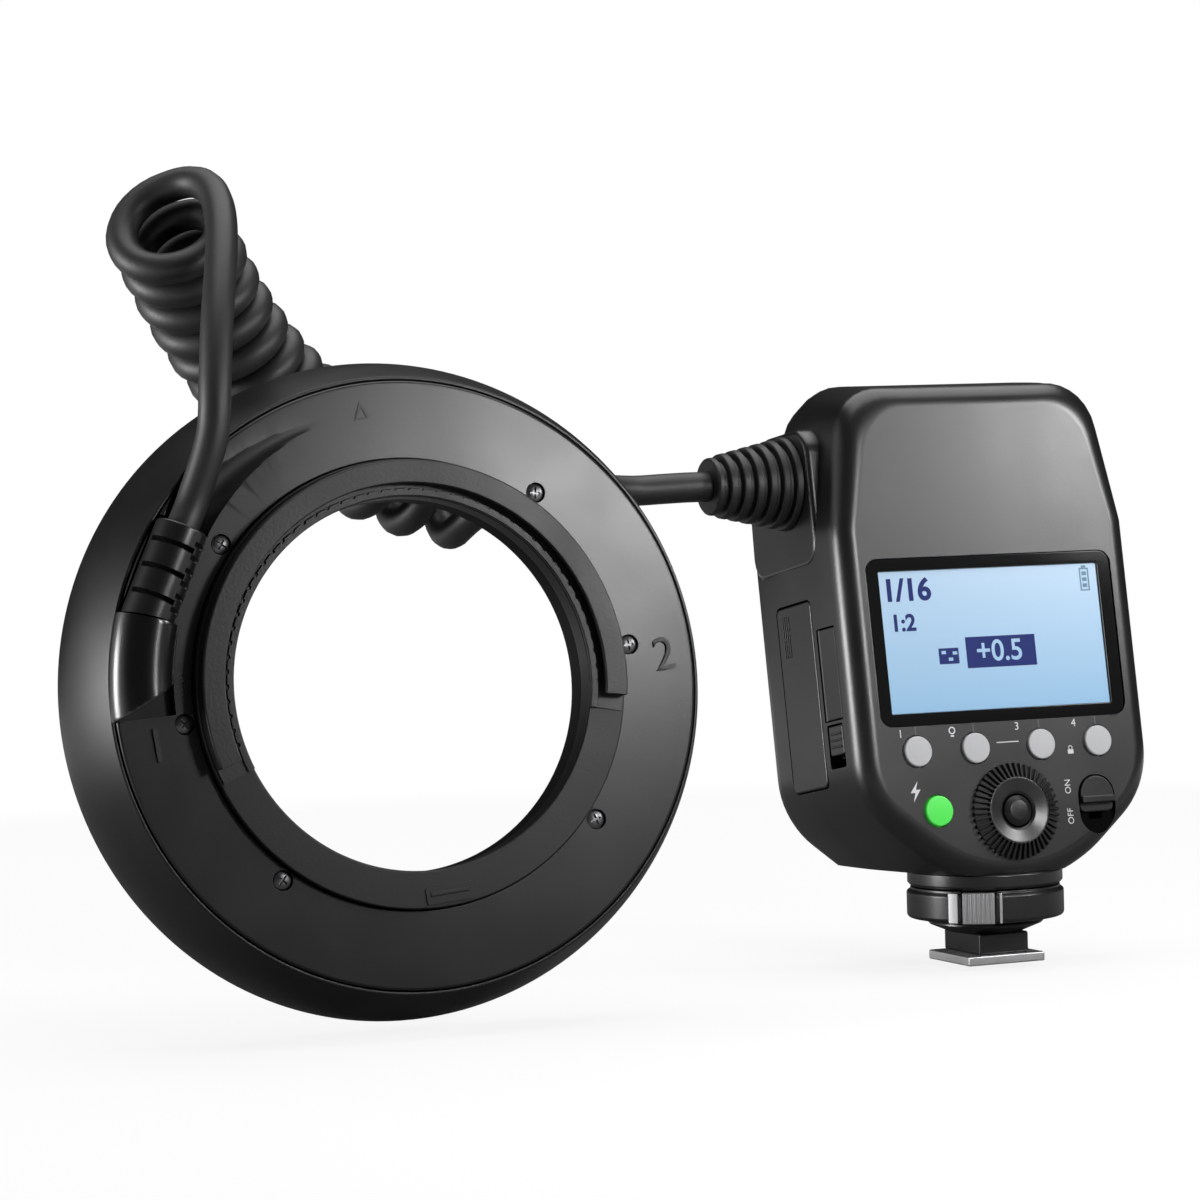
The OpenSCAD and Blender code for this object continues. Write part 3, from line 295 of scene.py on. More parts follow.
mark_white = finish("mark_white", (0.80, 0.80, 0.81), 0.6, depth=0.05, vary=0.05)
line_grey = finish("line_grey", (0.11, 0.11, 0.112), 0.6, depth=0.05)
ink_pale = finish("ink_pale", (0.20, 0.32, 0.45), 0.6, depth=0.0, vary=0.1, Specular_IOR_Level=0.1)
ink_blue = finish("ink_blue", (0.03, 0.045, 0.20), 0.6, depth=0.0, vary=0.1, Specular_IOR_Level=0.1)
bezel_black = finish("bezel_black", (0.004, 0.004, 0.0045), 0.10, depth=0.0, spread=0.02, Specular_IOR_Level=0.3)
moulded_grey = finish("moulded_grey", (0.26, 0.26, 0.27), 0.55, depth=0.1)
board_green = finish("board_green", (0.03, 0.17, 0.07), 0.4, scale=700, depth=0.15, vary=0.2)
sleeve_blue = finish("sleeve_blue", (0.03, 0.05, 0.16), 0.3, depth=0.02)
diffuser_white = finish("diffuser_white", (0.80, 0.81, 0.82), 0.35, scale=1400, depth=0.2, vary=0.04,
                        Subsurface_Weight=0.3, Subsurface_Scale=0.002)
mirror_bright = finish("mirror_bright", (0.88, 0.88, 0.88), 0.15, depth=0.05, vary=0.03, Metallic=1)
tube_clear = finish("tube_clear", (0.9, 0.95, 1.0), 0.05, depth=0.0, vary=0.0, Transmission_Weight=0.9)
lamp_amber = finish("lamp_amber", (0.95, 0.78, 0.40), 0.25, depth=0.0, vary=0.05)
print("finishes:", len(bpy.data.materials))

# %% [markdown]
# ## Helpers for turned, cut and softened shapes
#
# Most of this object was turned or moulded, so a few tools do the work. A fillet rounds the corners of a drawn outline,
# a lathe spins it, a slab extrudes it, and a carve cuts one shape out of another, as a mould's inserts do.

# %% Draw, spin, extrude
WELD = 1e-4


def fillet(points, radius, steps=4, closed=True):
    """Rounds the corners of an outline. A point with a third number has its own radius."""
    rounded = []
    for i, point in enumerate(points):
        corner = Vector(point[:2])
        if not closed and i in (0, len(points) - 1):
            rounded.append(tuple(corner))
            continue
        back = Vector(points[i - 1][:2]) - corner
        on = Vector(points[(i + 1) % len(points)][:2]) - corner
        half = back.angle(on) / 2
        size = point[2] if len(point) > 2 else radius
        if size < 1e-4 or half > radians(88):
            rounded.append(tuple(corner))
            continue
        trim = min(size / tan(half), 0.49 * back.length, 0.49 * on.length)
        centre = corner + (back.normalized() + on.normalized()).normalized() * (trim / cos(half))
        first = corner + back.normalized() * trim - centre
        last = corner + on.normalized() * trim - centre
        rounded += [tuple(centre + first.length * first.slerp(last, k / steps).normalized()) for k in range(steps + 1)]
    return rounded


def arc(x, y, radius, step, stop=181):
    return [(x + radius * cos(radians(a)), y + radius * sin(radians(a))) for a in range(0, stop, step)]


def outward(shape):
    bmesh.ops.recalc_face_normals(shape, faces=shape.faces)
    return shape


def lathe(outline, sweep=360, start=0, steps=96, solid=False):
    """Spins an outline of (radius, height) about z. A solid's outline starts and ends on the axis."""
    shape = bmesh.new()
    verts = [shape.verts.new((r, 0, z)) for r, z in outline]
    pairs = list(zip(verts, verts[1:])) + ([] if solid else [(verts[-1], verts[0])])
    edges = [shape.edges.new(pair) for pair in pairs]
    bmesh.ops.rotate(shape, verts=verts, cent=(0, 0, 0), matrix=Matrix.Rotation(radians(start), 3, "Z"))
    bmesh.ops.spin(shape, geom=verts + edges, cent=(0, 0, 0), axis=(0, 0, 1), angle=radians(sweep), steps=steps,
                   use_merge=sweep == 360)
    bmesh.ops.remove_doubles(shape, verts=shape.verts, dist=WELD)
    bmesh.ops.dissolve_degenerate(shape, edges=shape.edges, dist=WELD)
    if sweep != 360:
        bmesh.ops.holes_fill(shape, edges=[e for e in shape.edges if e.is_boundary], sides=0)
    return outward(shape)


def turned(outline, radius, steps=4, segments=48):
    """A solid turned about z. Its outline starts at the foot's edge and ends on the axis."""
    return lathe([(0, outline[0][1]), *fillet(outline, radius, steps, closed=False)], steps=segments, solid=True)


def slab(outline, low, high):
    """An outline of (x, y), extruded from one height to another."""
    shape = bmesh.new()
    face = shape.faces.new([shape.verts.new((x, y, low)) for x, y in outline])
    lifted = bmesh.ops.extrude_face_region(shape, geom=[face])["geom"]
    bmesh.ops.translate(shape, verts=[g for g in lifted if isinstance(g, bmesh.types.BMVert)], vec=(0, 0, high - low))
    return outward(shape)


def rectangle(width, height, radius=0.0, x=0.0, y=0.0, steps=6):
    corners = [(x - width / 2, y - height / 2), (x + width / 2, y - height / 2),
               (x + width / 2, y + height / 2), (x - width / 2, y + height / 2)]
    return fillet(corners, radius, steps) if radius else corners


def box(low, high, *outline, **named):
    """A rectangle, extruded from one height to another."""
    return slab(rectangle(*outline, **named), low, high)


def skin(rings):
    """Bridges rings of points into one closed form."""
    shape = bmesh.new()
    loops = []
    for ring in rings:
        verts = [shape.verts.new(point) for point in ring]
        loops.append([shape.edges.new(pair) for pair in zip(verts, verts[1:] + verts[:1])])
    for one, other in zip(loops, loops[1:]):
        bmesh.ops.bridge_loops(shape, edges=one + other)
    bmesh.ops.holes_fill(shape, edges=loops[0] + loops[-1], sides=0)
    return outward(shape)


def rod(start, end, radius, segments=48):
    """A round bar between two points."""
    start, end = Vector(start), Vector(end)
    shape = bmesh.new()
    bmesh.ops.create_cone(shape, cap_ends=True, segments=segments, radius1=radius, radius2=radius,
                          depth=(end - start).length)
    turn = (end - start).to_track_quat("Z", "Y").to_matrix().to_4x4()
    bmesh.ops.transform(shape, matrix=Matrix.Translation((start + end) / 2) @ turn, verts=shape.verts)
    return shape


def disc(x, y, radius, low, high, segments=48):
    return rod((x, y, low), (x, y, high), radius, segments=segments)


def merge(*shapes):
    """Several shapes in one mesh."""
    whole = bmesh.new()
    for shape in shapes:
        part = bpy.data.meshes.new("part")
        shape.to_mesh(part)
        shape.free()
        whole.from_mesh(part)
        bpy.data.meshes.remove(part)
    return whole


# %% Cut, soften, move


def carve(shape, *tools, operation="DIFFERENCE"):
    """Cuts each tool out of the shape."""
    work = bench("work", shape)
    cutters = [bench("cutter", tool) for tool in tools]
    for cutter in cutters:
        cut = work.modifiers.new("cut", "BOOLEAN")
        cut.operation = operation
        cut.solver = "EXACT"
        cut.object = cutter
    bpy.context.view_layer.update()
    result = bmesh.new()
    result.from_object(work, bpy.context.evaluated_depsgraph_get())
    for obj in [work, *cutters]:
        mesh = obj.data
        bpy.data.objects.remove(obj)
        bpy.data.meshes.remove(mesh)
    bmesh.ops.remove_doubles(result, verts=result.verts, dist=WELD)
    return result


def soften(shape, width, segments=2, angle=40):
    """Bevels every edge sharper than the angle."""
    sharp = [e for e in shape.edges if e.is_manifold and e.calc_face_angle() > radians(angle)]
    bmesh.ops.bevel(shape, geom=sharp, offset=width, offset_type="OFFSET", affect="EDGES", segments=segments,
                    profile=0.5, material=-1, clamp_overlap=True)
    return shape


def moved(shape, matrix):
    bmesh.ops.transform(shape, matrix=matrix, verts=shape.verts)
    return shape


# %% Place a finished piece, and make numerals
made = []


def piece(name, shape, place, material, body, stands_for=None, sharp=32):
    """Puts a finished shape in its place, on the body that carries it. One with no body is left unattached."""
    shape.transform(place)
    obj = bench(name, shape)
    obj.data.shade_smooth()
    obj.data.set_sharp_from_angle(angle=radians(sharp))
    obj.data.materials.append(material)
    obj.modifiers.new("even_shading", "WEIGHTED_NORMAL").keep_sharp = True
    if stands_for:
        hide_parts(stands_for)
    if body:
        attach(obj, body)
    made.append(obj)
    return obj


def meshed(curve):
    """A curve or a text, turned into a mesh."""
    holder = placed("holder", curve)
    bpy.context.view_layer.update()
    mesh = bpy.data.meshes.new_from_object(holder.evaluated_get(bpy.context.evaluated_depsgraph_get()))
    bpy.data.objects.remove(holder)
    bpy.data.curves.remove(curve)
    return mesh


def lettering(words, size, x, y, height, turn=0, thick=0.05, bold=0.0):
    """Plain numerals or signs, as a thin raised mesh."""
    text = bpy.data.curves.new("words", "FONT")
    text.body = words
    text.size = size
    text.align_x, text.align_y = "CENTER", "CENTER"
    text.extrude = thick / 2
    text.offset = bold
    letters = meshed(text)
    shape = bmesh.new()
    shape.from_mesh(letters)
    bpy.data.meshes.remove(letters)
    bmesh.ops.remove_doubles(shape, verts=shape.verts, dist=WELD)
    return moved(outward(shape), at(x, y, height) @ spun(turn))


# %% [markdown]
# ## The curly cord
#
# The cord leaves the ring's strain relief, rises, loops over and winds down behind the ring, then runs straight into
# the unit's boot. It is one line of points: a smooth curve through the chosen points at each end, a helix about a bent
# axis between them, and a smooth bend at each join. A curve with a round section follows it and becomes a mesh.

# %% Route of the cord
CORD = 6.5
COIL_HANDLES = [Vector(p) for p in ((-180, 6, 162), (-166.5, 22.5, 143.5), (-146, 38, 110), (-100, 26, 103.5))]
COIL_RADIUS, COIL_TURNS, COIL_SPREAD, COIL_FADE = 9.5, 13.5, -0.08, 0.93
COIL_FLARE, COIL_FLARE_TURNS = 1.2, 1
RING_ROUTE = [Vector(p) for p in ((-183, -27.5, 118.1), (-181.7, -26.5, 128.9), (-179.4, -22, 140.6),
                                  (-176.3, -15, 151))]
UNIT_ROUTE = [Vector(p) for p in ((-84, 22.8, 103), (-72, 20.9, 103.8))]
RING_BOOT_ANGLE, RING_BOOT_RADIUS, RING_BOOT_HEIGHT, RING_BOOT_LENGTH = 147.9, 54.2, 0.8, 20.5
BOOT_DEPTH, BOOT_HEIGHT, BOOT_FACE, BOOT_LENGTH = 22, 109.3, 36.1, 18.4


def round_ring(radius, angle, height=0.0):
    return Vector((radius * cos(radians(angle)), radius * sin(radians(angle)), height))


def to_part(place, point):
    """A point of a frame, in the part's frame, in millimetres."""
    return place @ Vector(point) * 1000


def bezier(handles, t):
    a, b, c, d = handles
    return (1 - t) ** 3 * a + 3 * t * (1 - t) ** 2 * b + 3 * t * t * (1 - t) * c + t ** 3 * d


def axis_way(t):
    a, b, c, d = COIL_HANDLES
    return ((1 - t) ** 2 * (b - a) + 2 * t * (1 - t) * (c - b) + t * t * (d - c)).normalized()


coil_plane = axis_way(0).cross(axis_way(1)).normalized()


def coil_at(t):
    side = coil_plane.cross(axis_way(t)).normalized()
    angle = radians(-360 * COIL_TURNS * (t + COIL_SPREAD * sin(2 * pi * t) / (2 * pi)))
    wide = COIL_RADIUS if t < COIL_FADE else COIL_RADIUS * (0.5 + 0.5 * cos(pi * (t - COIL_FADE) / (1 - COIL_FADE)))
    early = min(1, t * COIL_TURNS / COIL_FLARE_TURNS)
    wide += COIL_FLARE * (1 - early * early * (3 - 2 * early))
    return bezier(COIL_HANDLES, t) + wide * (cos(angle) * side + sin(angle) * axis_way(t).cross(side))


def through(points, steps=8):
    """A smooth curve through the points."""
    ends = [2 * points[0] - points[1], *points, 2 * points[-1] - points[-2]]
    line = []
    for p0, p1, p2, p3 in zip(ends, ends[1:], ends[2:], ends[3:]):
        for k in range(steps):
            t = k / steps
            line.append(0.5 * (2 * p1 + (p2 - p0) * t + (2 * p0 - 5 * p1 + 4 * p2 - p3) * t * t
                               + (3 * p1 - p0 - 3 * p2 + p3) * t ** 3))
    return [*line, points[-1]]


boot_lane = round_ring(1, RING_BOOT_ANGLE - 90)
boot_middle = round_ring(RING_BOOT_RADIUS, RING_BOOT_ANGLE, RING_BOOT_HEIGHT)
ring_out = boot_middle + RING_BOOT_LENGTH / 2 * boot_lane
ring_exit = to_part(RING, ring_out)
ring_way = (to_part(RING, ring_out + boot_lane) - ring_exit).normalized()
unit_exit = to_part(UNIT, (-BOOT_FACE - BOOT_LENGTH, BOOT_DEPTH, BOOT_HEIGHT))
coil_way = (coil_at(0.001) - coil_at(0)).normalized()
coil_start, coil_end = coil_at(0) - CORD * coil_way, COIL_HANDLES[3] + CORD * axis_way(1)
ring_tail = through([ring_exit, ring_exit + CORD * ring_way, *RING_ROUTE, coil_start - CORD * coil_way, coil_start])
unit_tail = through([coil_end, coil_end + CORD * axis_way(1), *UNIT_ROUTE, unit_exit - Vector((CORD, 0, 0)), unit_exit])
COIL_STEPS = round(COIL_TURNS * 32)
coil = [coil_at(i / COIL_STEPS) for i in range(COIL_STEPS + 1)]


def ease(before, after, leave, enter):
    """A smooth bend from the end of one stretch into the start of the next."""
    a, b = before[-1], after[0]
    reach = (b - a).length
    bend = [a, a + leave * reach * (a - before[-2]).normalized(), b - enter * reach * (after[1] - b).normalized(), b]
    return [bezier(bend, k / 30) for k in range(1, 30)]


# The three stretches are trimmed where they meet, and eased into each other
tail, turns, lead = ring_tail[:-27], coil[9:-27], unit_tail[26:]
route = [p * 0.001 for p in [*tail, *ease(tail, turns, 0.38, 0.34), *turns, *ease(turns, lead, 0.7, 0.3), *lead]]

# %% Cord as a mesh tube
line = bpy.data.curves.new("cord", "CURVE")
line.dimensions = "3D"
line.bevel_depth = CORD / 2000
line.bevel_resolution = 5
line.use_fill_caps = True
spline = line.splines.new("POLY")
spline.points.add(len(route) - 1)
for knot, point in zip(spline.points, route):
    knot.co = (*point, 1)
cord_mesh = meshed(line)
cord_mesh.shade_smooth()
cord_mesh.set_sharp_from_angle(angle=radians(60))
cord = placed("curly_cord", cord_mesh)
cord_mesh.materials.clear()
cord_mesh.materials.append(rubber_black)
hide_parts("cord_ring_tail", "cord_coil", "cord_unit_tail")
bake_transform(cord)
print("cord mesh:", len(cord_mesh.polygons), "faces")

# %% [markdown]
# ## The ring head's housing and rear cover
#
# The housing is a shallow bowl with a curved flank, so its section is spun once round. The rear cover is a flat ring
# let into it, with a channel for the strain relief, a long groove that eases the cord out, and six countersunk screws.

# %% Front housing
RIM, FRONT, REAR = 61.0, 66.0, 60.3
flank = [(RIM + (FRONT - RIM) * sin(radians(a)), -0.6 - 19 * a / 90) for a in range(6, 91, 6)]
inside = [(r - 2.2, z) for r, z in reversed(flank) if z < -5.4]
housing_outline = fillet([(REAR, -0.6, 0.3), (RIM, -0.62, 0.3), *[(r, z, 0) for r, z in flank], (FRONT, -20.6, 1),
                          (FRONT - 1, -22.1, 0.7), (FRONT - 3.2, -22.1, 0.3), (FRONT - 3.2, -20.4),
                          *[(r, z, 0) for r, z in inside], (60.8, -5.15, 0), (57.8, -5.15), (57.8, -3.25),
                          (REAR, -3.25)], 0.15)
cord_goal = RING.inverted() @ (RING_ROUTE[0] * 0.001)


def cord_passage():
    """Room for the cord where it leaves the strain relief and turns up."""
    bars = []
    for begin in (ring_out, ring_out + CORD * boot_lane):
        lane = (cord_goal - begin).normalized()
        bars.append(rod(begin - 0.5 * lane, cord_goal + 3 * lane, CORD / 2 + 0.7))
    return bars


housing = carve(lathe(housing_outline, steps=192), *cord_passage())
piece("housing_bowl", housing, RING, housing_black, "ring_head", "ring_front_housing")

# %% Rear cover
SCREW_CIRCLE, SCREW_ANGLES = 46.8, (45, 0, -45, -135, 180, 135)


def boot_channel():
    """Room for the strain relief."""
    return rod(boot_middle - 11.2 * boot_lane, boot_middle + 11.2 * boot_lane, 5.6)


def screw_holes(radius, bottom, segments):
    return [disc(*round_ring(SCREW_CIRCLE, a).xy, radius, bottom, 2, segments) for a in SCREW_ANGLES]


def rising_groove(radius, size, first, last, half):
    """A bent round cutter that climbs out of the cover, so its cut narrows to a point."""
    rings = []
    for k in range(33):
        share = k / 32
        climb = (size * size - (half * (1 - share)) ** 2) ** 0.5
        angle = first + (last - first) * share
        around = [2 * pi * turn / 40 for turn in range(40)]
        rings.append([round_ring(radius + size * cos(a), angle, climb + size * sin(a)) for a in around])
    return skin(rings)


sleeve_room = lathe([(48.2, -4), (60.2, -4), (60.2, 1), (48.2, 1)], sweep=20.2, start=157.3, steps=10)
cover = carve(lathe(fillet([(44.5, -3.2), (60.1, -3.2), (60.1, 0, 0.6), (44.5, 0, 0.3)], 0.1), steps=192),
              boot_channel(), rising_groove(54.3, 4.8, 138, 94.5, 4.6), *cord_passage(), sleeve_room,
              *screw_holes(2.05, -1.25, 32), *screw_holes(1.0, -6, 24))
cover = soften(cover, 0.15, 2, 45)
piece("rear_cover_plate", cover, RING, cover_black, "ring_head", "ring_rear_cover")

# %% Cross-head screws of the rear cover


def cross_screw(radius, head, shank, length):
    """A low round head with a cross recess, its top at height 0."""
    outline = [(shank, -length), (shank, -head), (radius, -head), (radius, -0.35, 0.35), (0.8, 0, 0), (0, 0.02)]
    slots = [box(-0.6, 1, radius * 1.15, 0.42), box(-0.6, 1, 0.42, radius * 1.15)]
    return carve(turned(outline, 0.05, 3, 32), *slots)


screws = []
for a in SCREW_ANGLES:
    place = Matrix.Translation(round_ring(SCREW_CIRCLE, a, -0.2)) @ spun(a * 1.7)
    screws.append(moved(cross_screw(1.9, 1.05, 0.9, 4.2), place))
piece("cover_cross_screws", merge(*screws), RING, dark_steel, "ring_head", "rear_cover_screws")

# %% [markdown]
# ## Where the lens adapter clips on
#
# Round the opening lie a flat seat, a raised lip that stops short of a full turn, a ring of fine detent teeth inside it
# and a latch on a leaf spring at the bottom. The real one is moulded with small soft edges, so each outline is
# filleted.

# %% Seat, lip and teeth
LATCH_TURN = spun(-91)
LIP_SWEEP, LIP_START = 206, -13
seat = carve(lathe(fillet([(36.8, -3.2), (44.3, -3.2), (44.3, 1.75, 0.3), (36.8, 1.75, 0.4)], 0.15), steps=160),
             moved(box(0.2, 5, 2.3, 8.6, 0.3, 41.85, 0), LATCH_TURN))
piece("adapter_seat_ring", soften(seat, 0.12, 2, 50), RING, seat_black, "ring_head", "adapter_seat")

lip = lathe(fillet([(41.8, 2.15), (43.8, 2.15), (43.8, 5.0, 0.4), (39.2, 5.0, 0.3), (39.2, 3.7, 0.3), (41.8, 3.7, 0.3)],
                   0.1), sweep=LIP_SWEEP, start=LIP_START, steps=112)
piece("adapter_lip_rail", soften(lip, 0.2, 2, 60), RING, lip_black, "ring_head", "adapter_lip")

teeth = lathe(fillet([(36.9, 1.75), (43.8, 1.75), (43.8, 2.15, 0.1), (38.4, 2.15, 0.05), (38.4, 2.65, 0.15),
                      (36.9, 2.65, 0.2)], 0.05, 3), sweep=LIP_SWEEP + 8, start=LIP_START - 4, steps=112)
notches = [disc(*round_ring(38.4, LIP_START + LIP_SWEEP * i / 48).xy, 0.55, 2.2, 4, 12) for i in range(1, 48)]
teeth = carve(teeth, merge(*notches))
piece("detent_teeth", teeth, RING, lip_black, "ring_head", "detent_ring")

# %% Latch with its leaf spring, and the bore
catch = merge(box(-2.4, 0.65, 3, 12, 0, 39.9, 0),
              soften(box(-0.3, 2.25, 0.9, 8, 0, 41.45, 0), 0.2, 3),
              soften(box(1.78, 2.02, 3.4, 9.8, 0.5, 41.75, 0), 0.08))
piece("adapter_catch", moved(catch, LATCH_TURN), RING, seat_black, "adapter_latch", "adapter_latch")

leaf = [(41.45 + 0.85 * (y / 5) ** 2, y) for y in range(-5, 6)]
leaf = moved(slab([*leaf, *[(x + 0.3, y) for x, y in reversed(leaf)]], -2.3, -0.7), LATCH_TURN)
spring = piece("latch_leaf_spring", leaf, RING, dark_steel, None, "latch_spring")
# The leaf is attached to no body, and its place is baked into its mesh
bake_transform(spring)

bore = lathe(fillet([(36.8, -3.2), (36.8, -8.5, 1.5), (44.2, -23.2, 0.3), (46.4, -23.2), (39.0, -8.5), (39.0, -4.4),
                     (49.6, -4.4), (49.6, -3.2)], 0.1), steps=160)
bore = carve(bore, boot_channel(), *screw_holes(1.07, -6, 22))
piece("bore_sleeve", bore, RING, bore_black, "ring_head", "bore_tube")

# %% Diffuser, with the fine rings of a moulded lens
ridges = [(r, -24.8 + (0.2 if k % 2 else 0), 0) for k, r in enumerate([49.0 + 0.46 * i for i in range(24)])]
diffuser = lathe(fillet([(44.1, -23.3), (46.6, -23.3), (46.6, -22.2), (62.6, -22.2), (62.6, -23.4, 0.5),
                         (60, -24.8, 0.4), *reversed(ridges), (44.1, -24.0, 0.4)], 0.15), steps=160)
piece("front_lens_ring", diffuser, RING, diffuser_white, "ring_head", "front_diffuser")

# %% [markdown]
# ## Strain relief and cable sleeve
#
# The cord enters a slotted strain relief that lies in its channel, and a polished half-round sleeve leads on from it
# and ends in a slanted mouth.

# %% Slotted strain relief
BOOT_R, BOOT_PITCH = 5.2, RING_BOOT_LENGTH / 3.8
relief = turned([(BOOT_R, 0), (BOOT_R, RING_BOOT_LENGTH, 0.6), (0, RING_BOOT_LENGTH)], 0.3, 4, 64)
relief_slots = []
for k in range(1, 4):
    z = k * BOOT_PITCH
    relief_slots.append(box(z - 0.55, z + 0.55, 9, 7, 0, -1.6, 4.5))
    relief_slots += [box(z + shift - 0.5, z + shift + 0.5, 4, 4.6, 0, 4.6, 2.6) for shift in (-1.2, 1.5)]
relief = soften(carve(relief, *relief_slots), 0.2, 2, 50)
out = Vector((0, 0, 1))
relief_turn = Matrix((boot_lane.cross(out), out, boot_lane)).transposed().to_4x4()
relief = moved(relief, Matrix.Translation(boot_middle - RING_BOOT_LENGTH / 2 * boot_lane) @ relief_turn)
relief = carve(relief, lathe([(40, -12), (70, -12), (70, 12), (40, 12)], sweep=8, start=157.1, steps=6))
piece("ring_strain_relief", relief, RING, relief_black, "ring_head", "ring_cord_boot")

# %% Polished sleeve with a slanted, hollow mouth
arch = [(54.2 + (6.9 if a < 90 else 5.7) * cos(radians(a)), 5.7 * sin(radians(a))) for a in range(0, 181, 6)]
sleeve = lathe([*arch, (48.3, 0), (48.3, -3.2), (60.0, -3.2), (60.0, -0.45), (61.1, -0.45)], sweep=20, start=157.4,
               steps=24)
mouth = slab([round_ring(r, a).xy for r, a in ((45, 167.6), (63, 178.2), (63, 186.4), (45, 186.4))], -2.2, 20)
tunnel = lathe([*arc(54.2, 0, 5.0, 9), (49.6, -2.2), (58.8, -2.2)], sweep=20, start=161.4, steps=24)
sleeve = soften(carve(sleeve, mouth, tunnel), 0.2, 2, 50)
piece("cable_sleeve_arch", sleeve, RING, gloss_black, "ring_head", "cable_sleeve")

# %% Raised numerals and the top mark of the rear cover
marks = merge(lettering("1", 9.5, -53.0, -3.4, 0.1, thick=0.7), lettering("2", 9.5, 53.8, -3.4, 0.1, thick=0.7))
arrow = carve(slab([(-1.7, 52.9), (1.7, 52.9), (0, 56.6)], -0.05, 0.14),
              slab([(-0.9, 53.3), (0.9, 53.3), (0, 55.3)], -1, 1))
piece("raised_marks", soften(merge(marks, arrow), 0.1, 2, 60), RING, lip_black, "ring_head")
print("ring head pieces:", len(made))

# %% [markdown]
# ## The control unit's shells
#
# The body is one soft form: a flat panel with a rounded rim, a round bottom, a tapered hood and a sloped back. Rings of
# points at several depths are bridged into that form, a smaller copy hollows it, and a cut at the seam makes the two
# shells. Then the openings for the display, buttons, dial, switch, battery and cord are carved.

# %% The form of the body
WALL, SEAM, BACK = 2.0, 24.5, 46.0
LOOP = 168


def body_ring(inset, fall):
    """The body's outline at one depth, as points at even angles about the panel's middle."""
    points = arc(0, 54, 36 - inset, 4, 360) + [(36 - inset, 96), (inset - 36, 96)]
    for side in (-1, 1):
        points += arc(side * 16, 46.5, 20 - inset, 4, 360)
        points += arc(side * (21.5 - inset), 130.4 - fall - 11 - inset, 11, 4, 360)
    hull = [Vector(points[i]) for i in convex_hull_2d(points)]
    middle = Vector((0, 70))
    ring = []
    for k in range(LOOP):
        way = Vector((sin(2 * pi * k / LOOP), cos(2 * pi * k / LOOP)))
        for a, b in zip(hull, hull[1:] + hull[:1]):
            edge, gap = b - a, a - middle
            cross = way.x * edge.y - way.y * edge.x
            if abs(cross) < 1e-9:
                continue
            along = (gap.x * edge.y - gap.y * edge.x) / cross
            share = (gap.x * way.y - gap.y * way.x) / cross
            if along > 0 and -1e-6 <= share <= 1 + 1e-6:
                ring.append(middle + along * way)
                break
    return ring


def body_form(wall):
    """The whole body, or its hollow where a wall is given."""
    front_bend, back_bend = [radians(10 * k) for k in range(10)], [radians(18 * k) for k in range(1, 6)]
    # Each station is a depth, how far the outline draws in there, and how far its top falls
    stations = [(5 * (1 - cos(a)), 0.4 + 4.6 * (1 - sin(a)), 2.9 + 0.7 * (1 - sin(a))) for a in front_bend]
    stations += [(10, 0.2, 1.9), (18, 0.12, 0.5), (20.5, 0.1, 0.1), (23, 0.07, 0.35), (SEAM, 0.04, 0.8), (28, 0, 2.0),
                 (33.5, 0.25, 5.4), (39, 0.6, 9.4)]
    stations += [(39 + 7 * sin(a), 0.6 + 6.4 * (1 - cos(a)), 9.4 + 5.1 * sin(a)) for a in back_bend]
    rings = []
    for depth, inset, fall in stations:
        height = -(wall + depth * (BACK - 2 * wall) / BACK)
        rings.append([(p.x, p.y, height) for p in body_ring(inset + wall, fall)])
    form = skin(rings)
    floor_way = Vector((0, cos(radians(LEAN)), sin(radians(LEAN))))
    bmesh.ops.bisect_plane(form, geom=form.verts[:] + form.edges[:] + form.faces[:], plane_co=floor_way * (20 + wall),
                           plane_no=floor_way, clear_inner=True)
    bmesh.ops.holes_fill(form, edges=[e for e in form.edges if e.is_boundary], sides=0)
    return outward(form)


# %% The hollow body and its openings in the side


def depth_block(near, far):
    """A block across the body between two depths."""
    return box(-far, -near, 300, 300, y=60)


def side_cutter(outline):
    """A cutter from the battery side, drawn in depth and height, brought into the panel's frame."""
    return moved(slab([(-d, h) for d, h in outline], 32, 37.5), PANEL.inverted() @ SIDE)


BATTERY = rectangle(16.4, 40.4, 1.5, 24.05, 62.8)
BATTERY_BAY = rectangle(17.0, 41.0, 1.8, 24.05, 62.8)
PORT_BAY = rectangle(8.2, 20.2, 0.4, 10.15, 66.2)
LATCH_BAY = rectangle(7.0, 9.5, 0.6, 10.15, 50.75)


def hollow_body():
    outline = fillet([(10, 90), (10, 116.5), (14, 120), (30, 120.5), (40, 115), (41, 90)], 5)
    cheek = moved(soften(slab([(-d, h) for d, h in outline], 30, BOOT_FACE), 1.2, 4), PANEL.inverted() @ SIDE)
    boot_hole = rod((-38, BOOT_HEIGHT, -BOOT_DEPTH), (-28, BOOT_HEIGHT, -BOOT_DEPTH), 7.1)
    bays = [side_cutter(outline) for outline in (BATTERY_BAY, PORT_BAY, LATCH_BAY)]
    return carve(carve(body_form(0), cheek, operation="UNION"), body_form(WALL), *bays, boot_hole)


# %% Rear shell with the panel
BUTTON_X, BUTTON_Y, BUTTON_R = (-22, -8, 8, 22), 47.7, 3.25
TEST_X, TEST_Y = -18.4, 34.8
DIAL_Y, LCD_Y = 33.7, 71.2
SWITCH_X, SWITCH_Y = 20.4, 34.1
POST_X, POST_Y = (-24, 24), 94


def at_posts(radius, low, high, segments=32):
    return [disc(x, POST_Y, radius, low, high, segments) for x in POST_X]


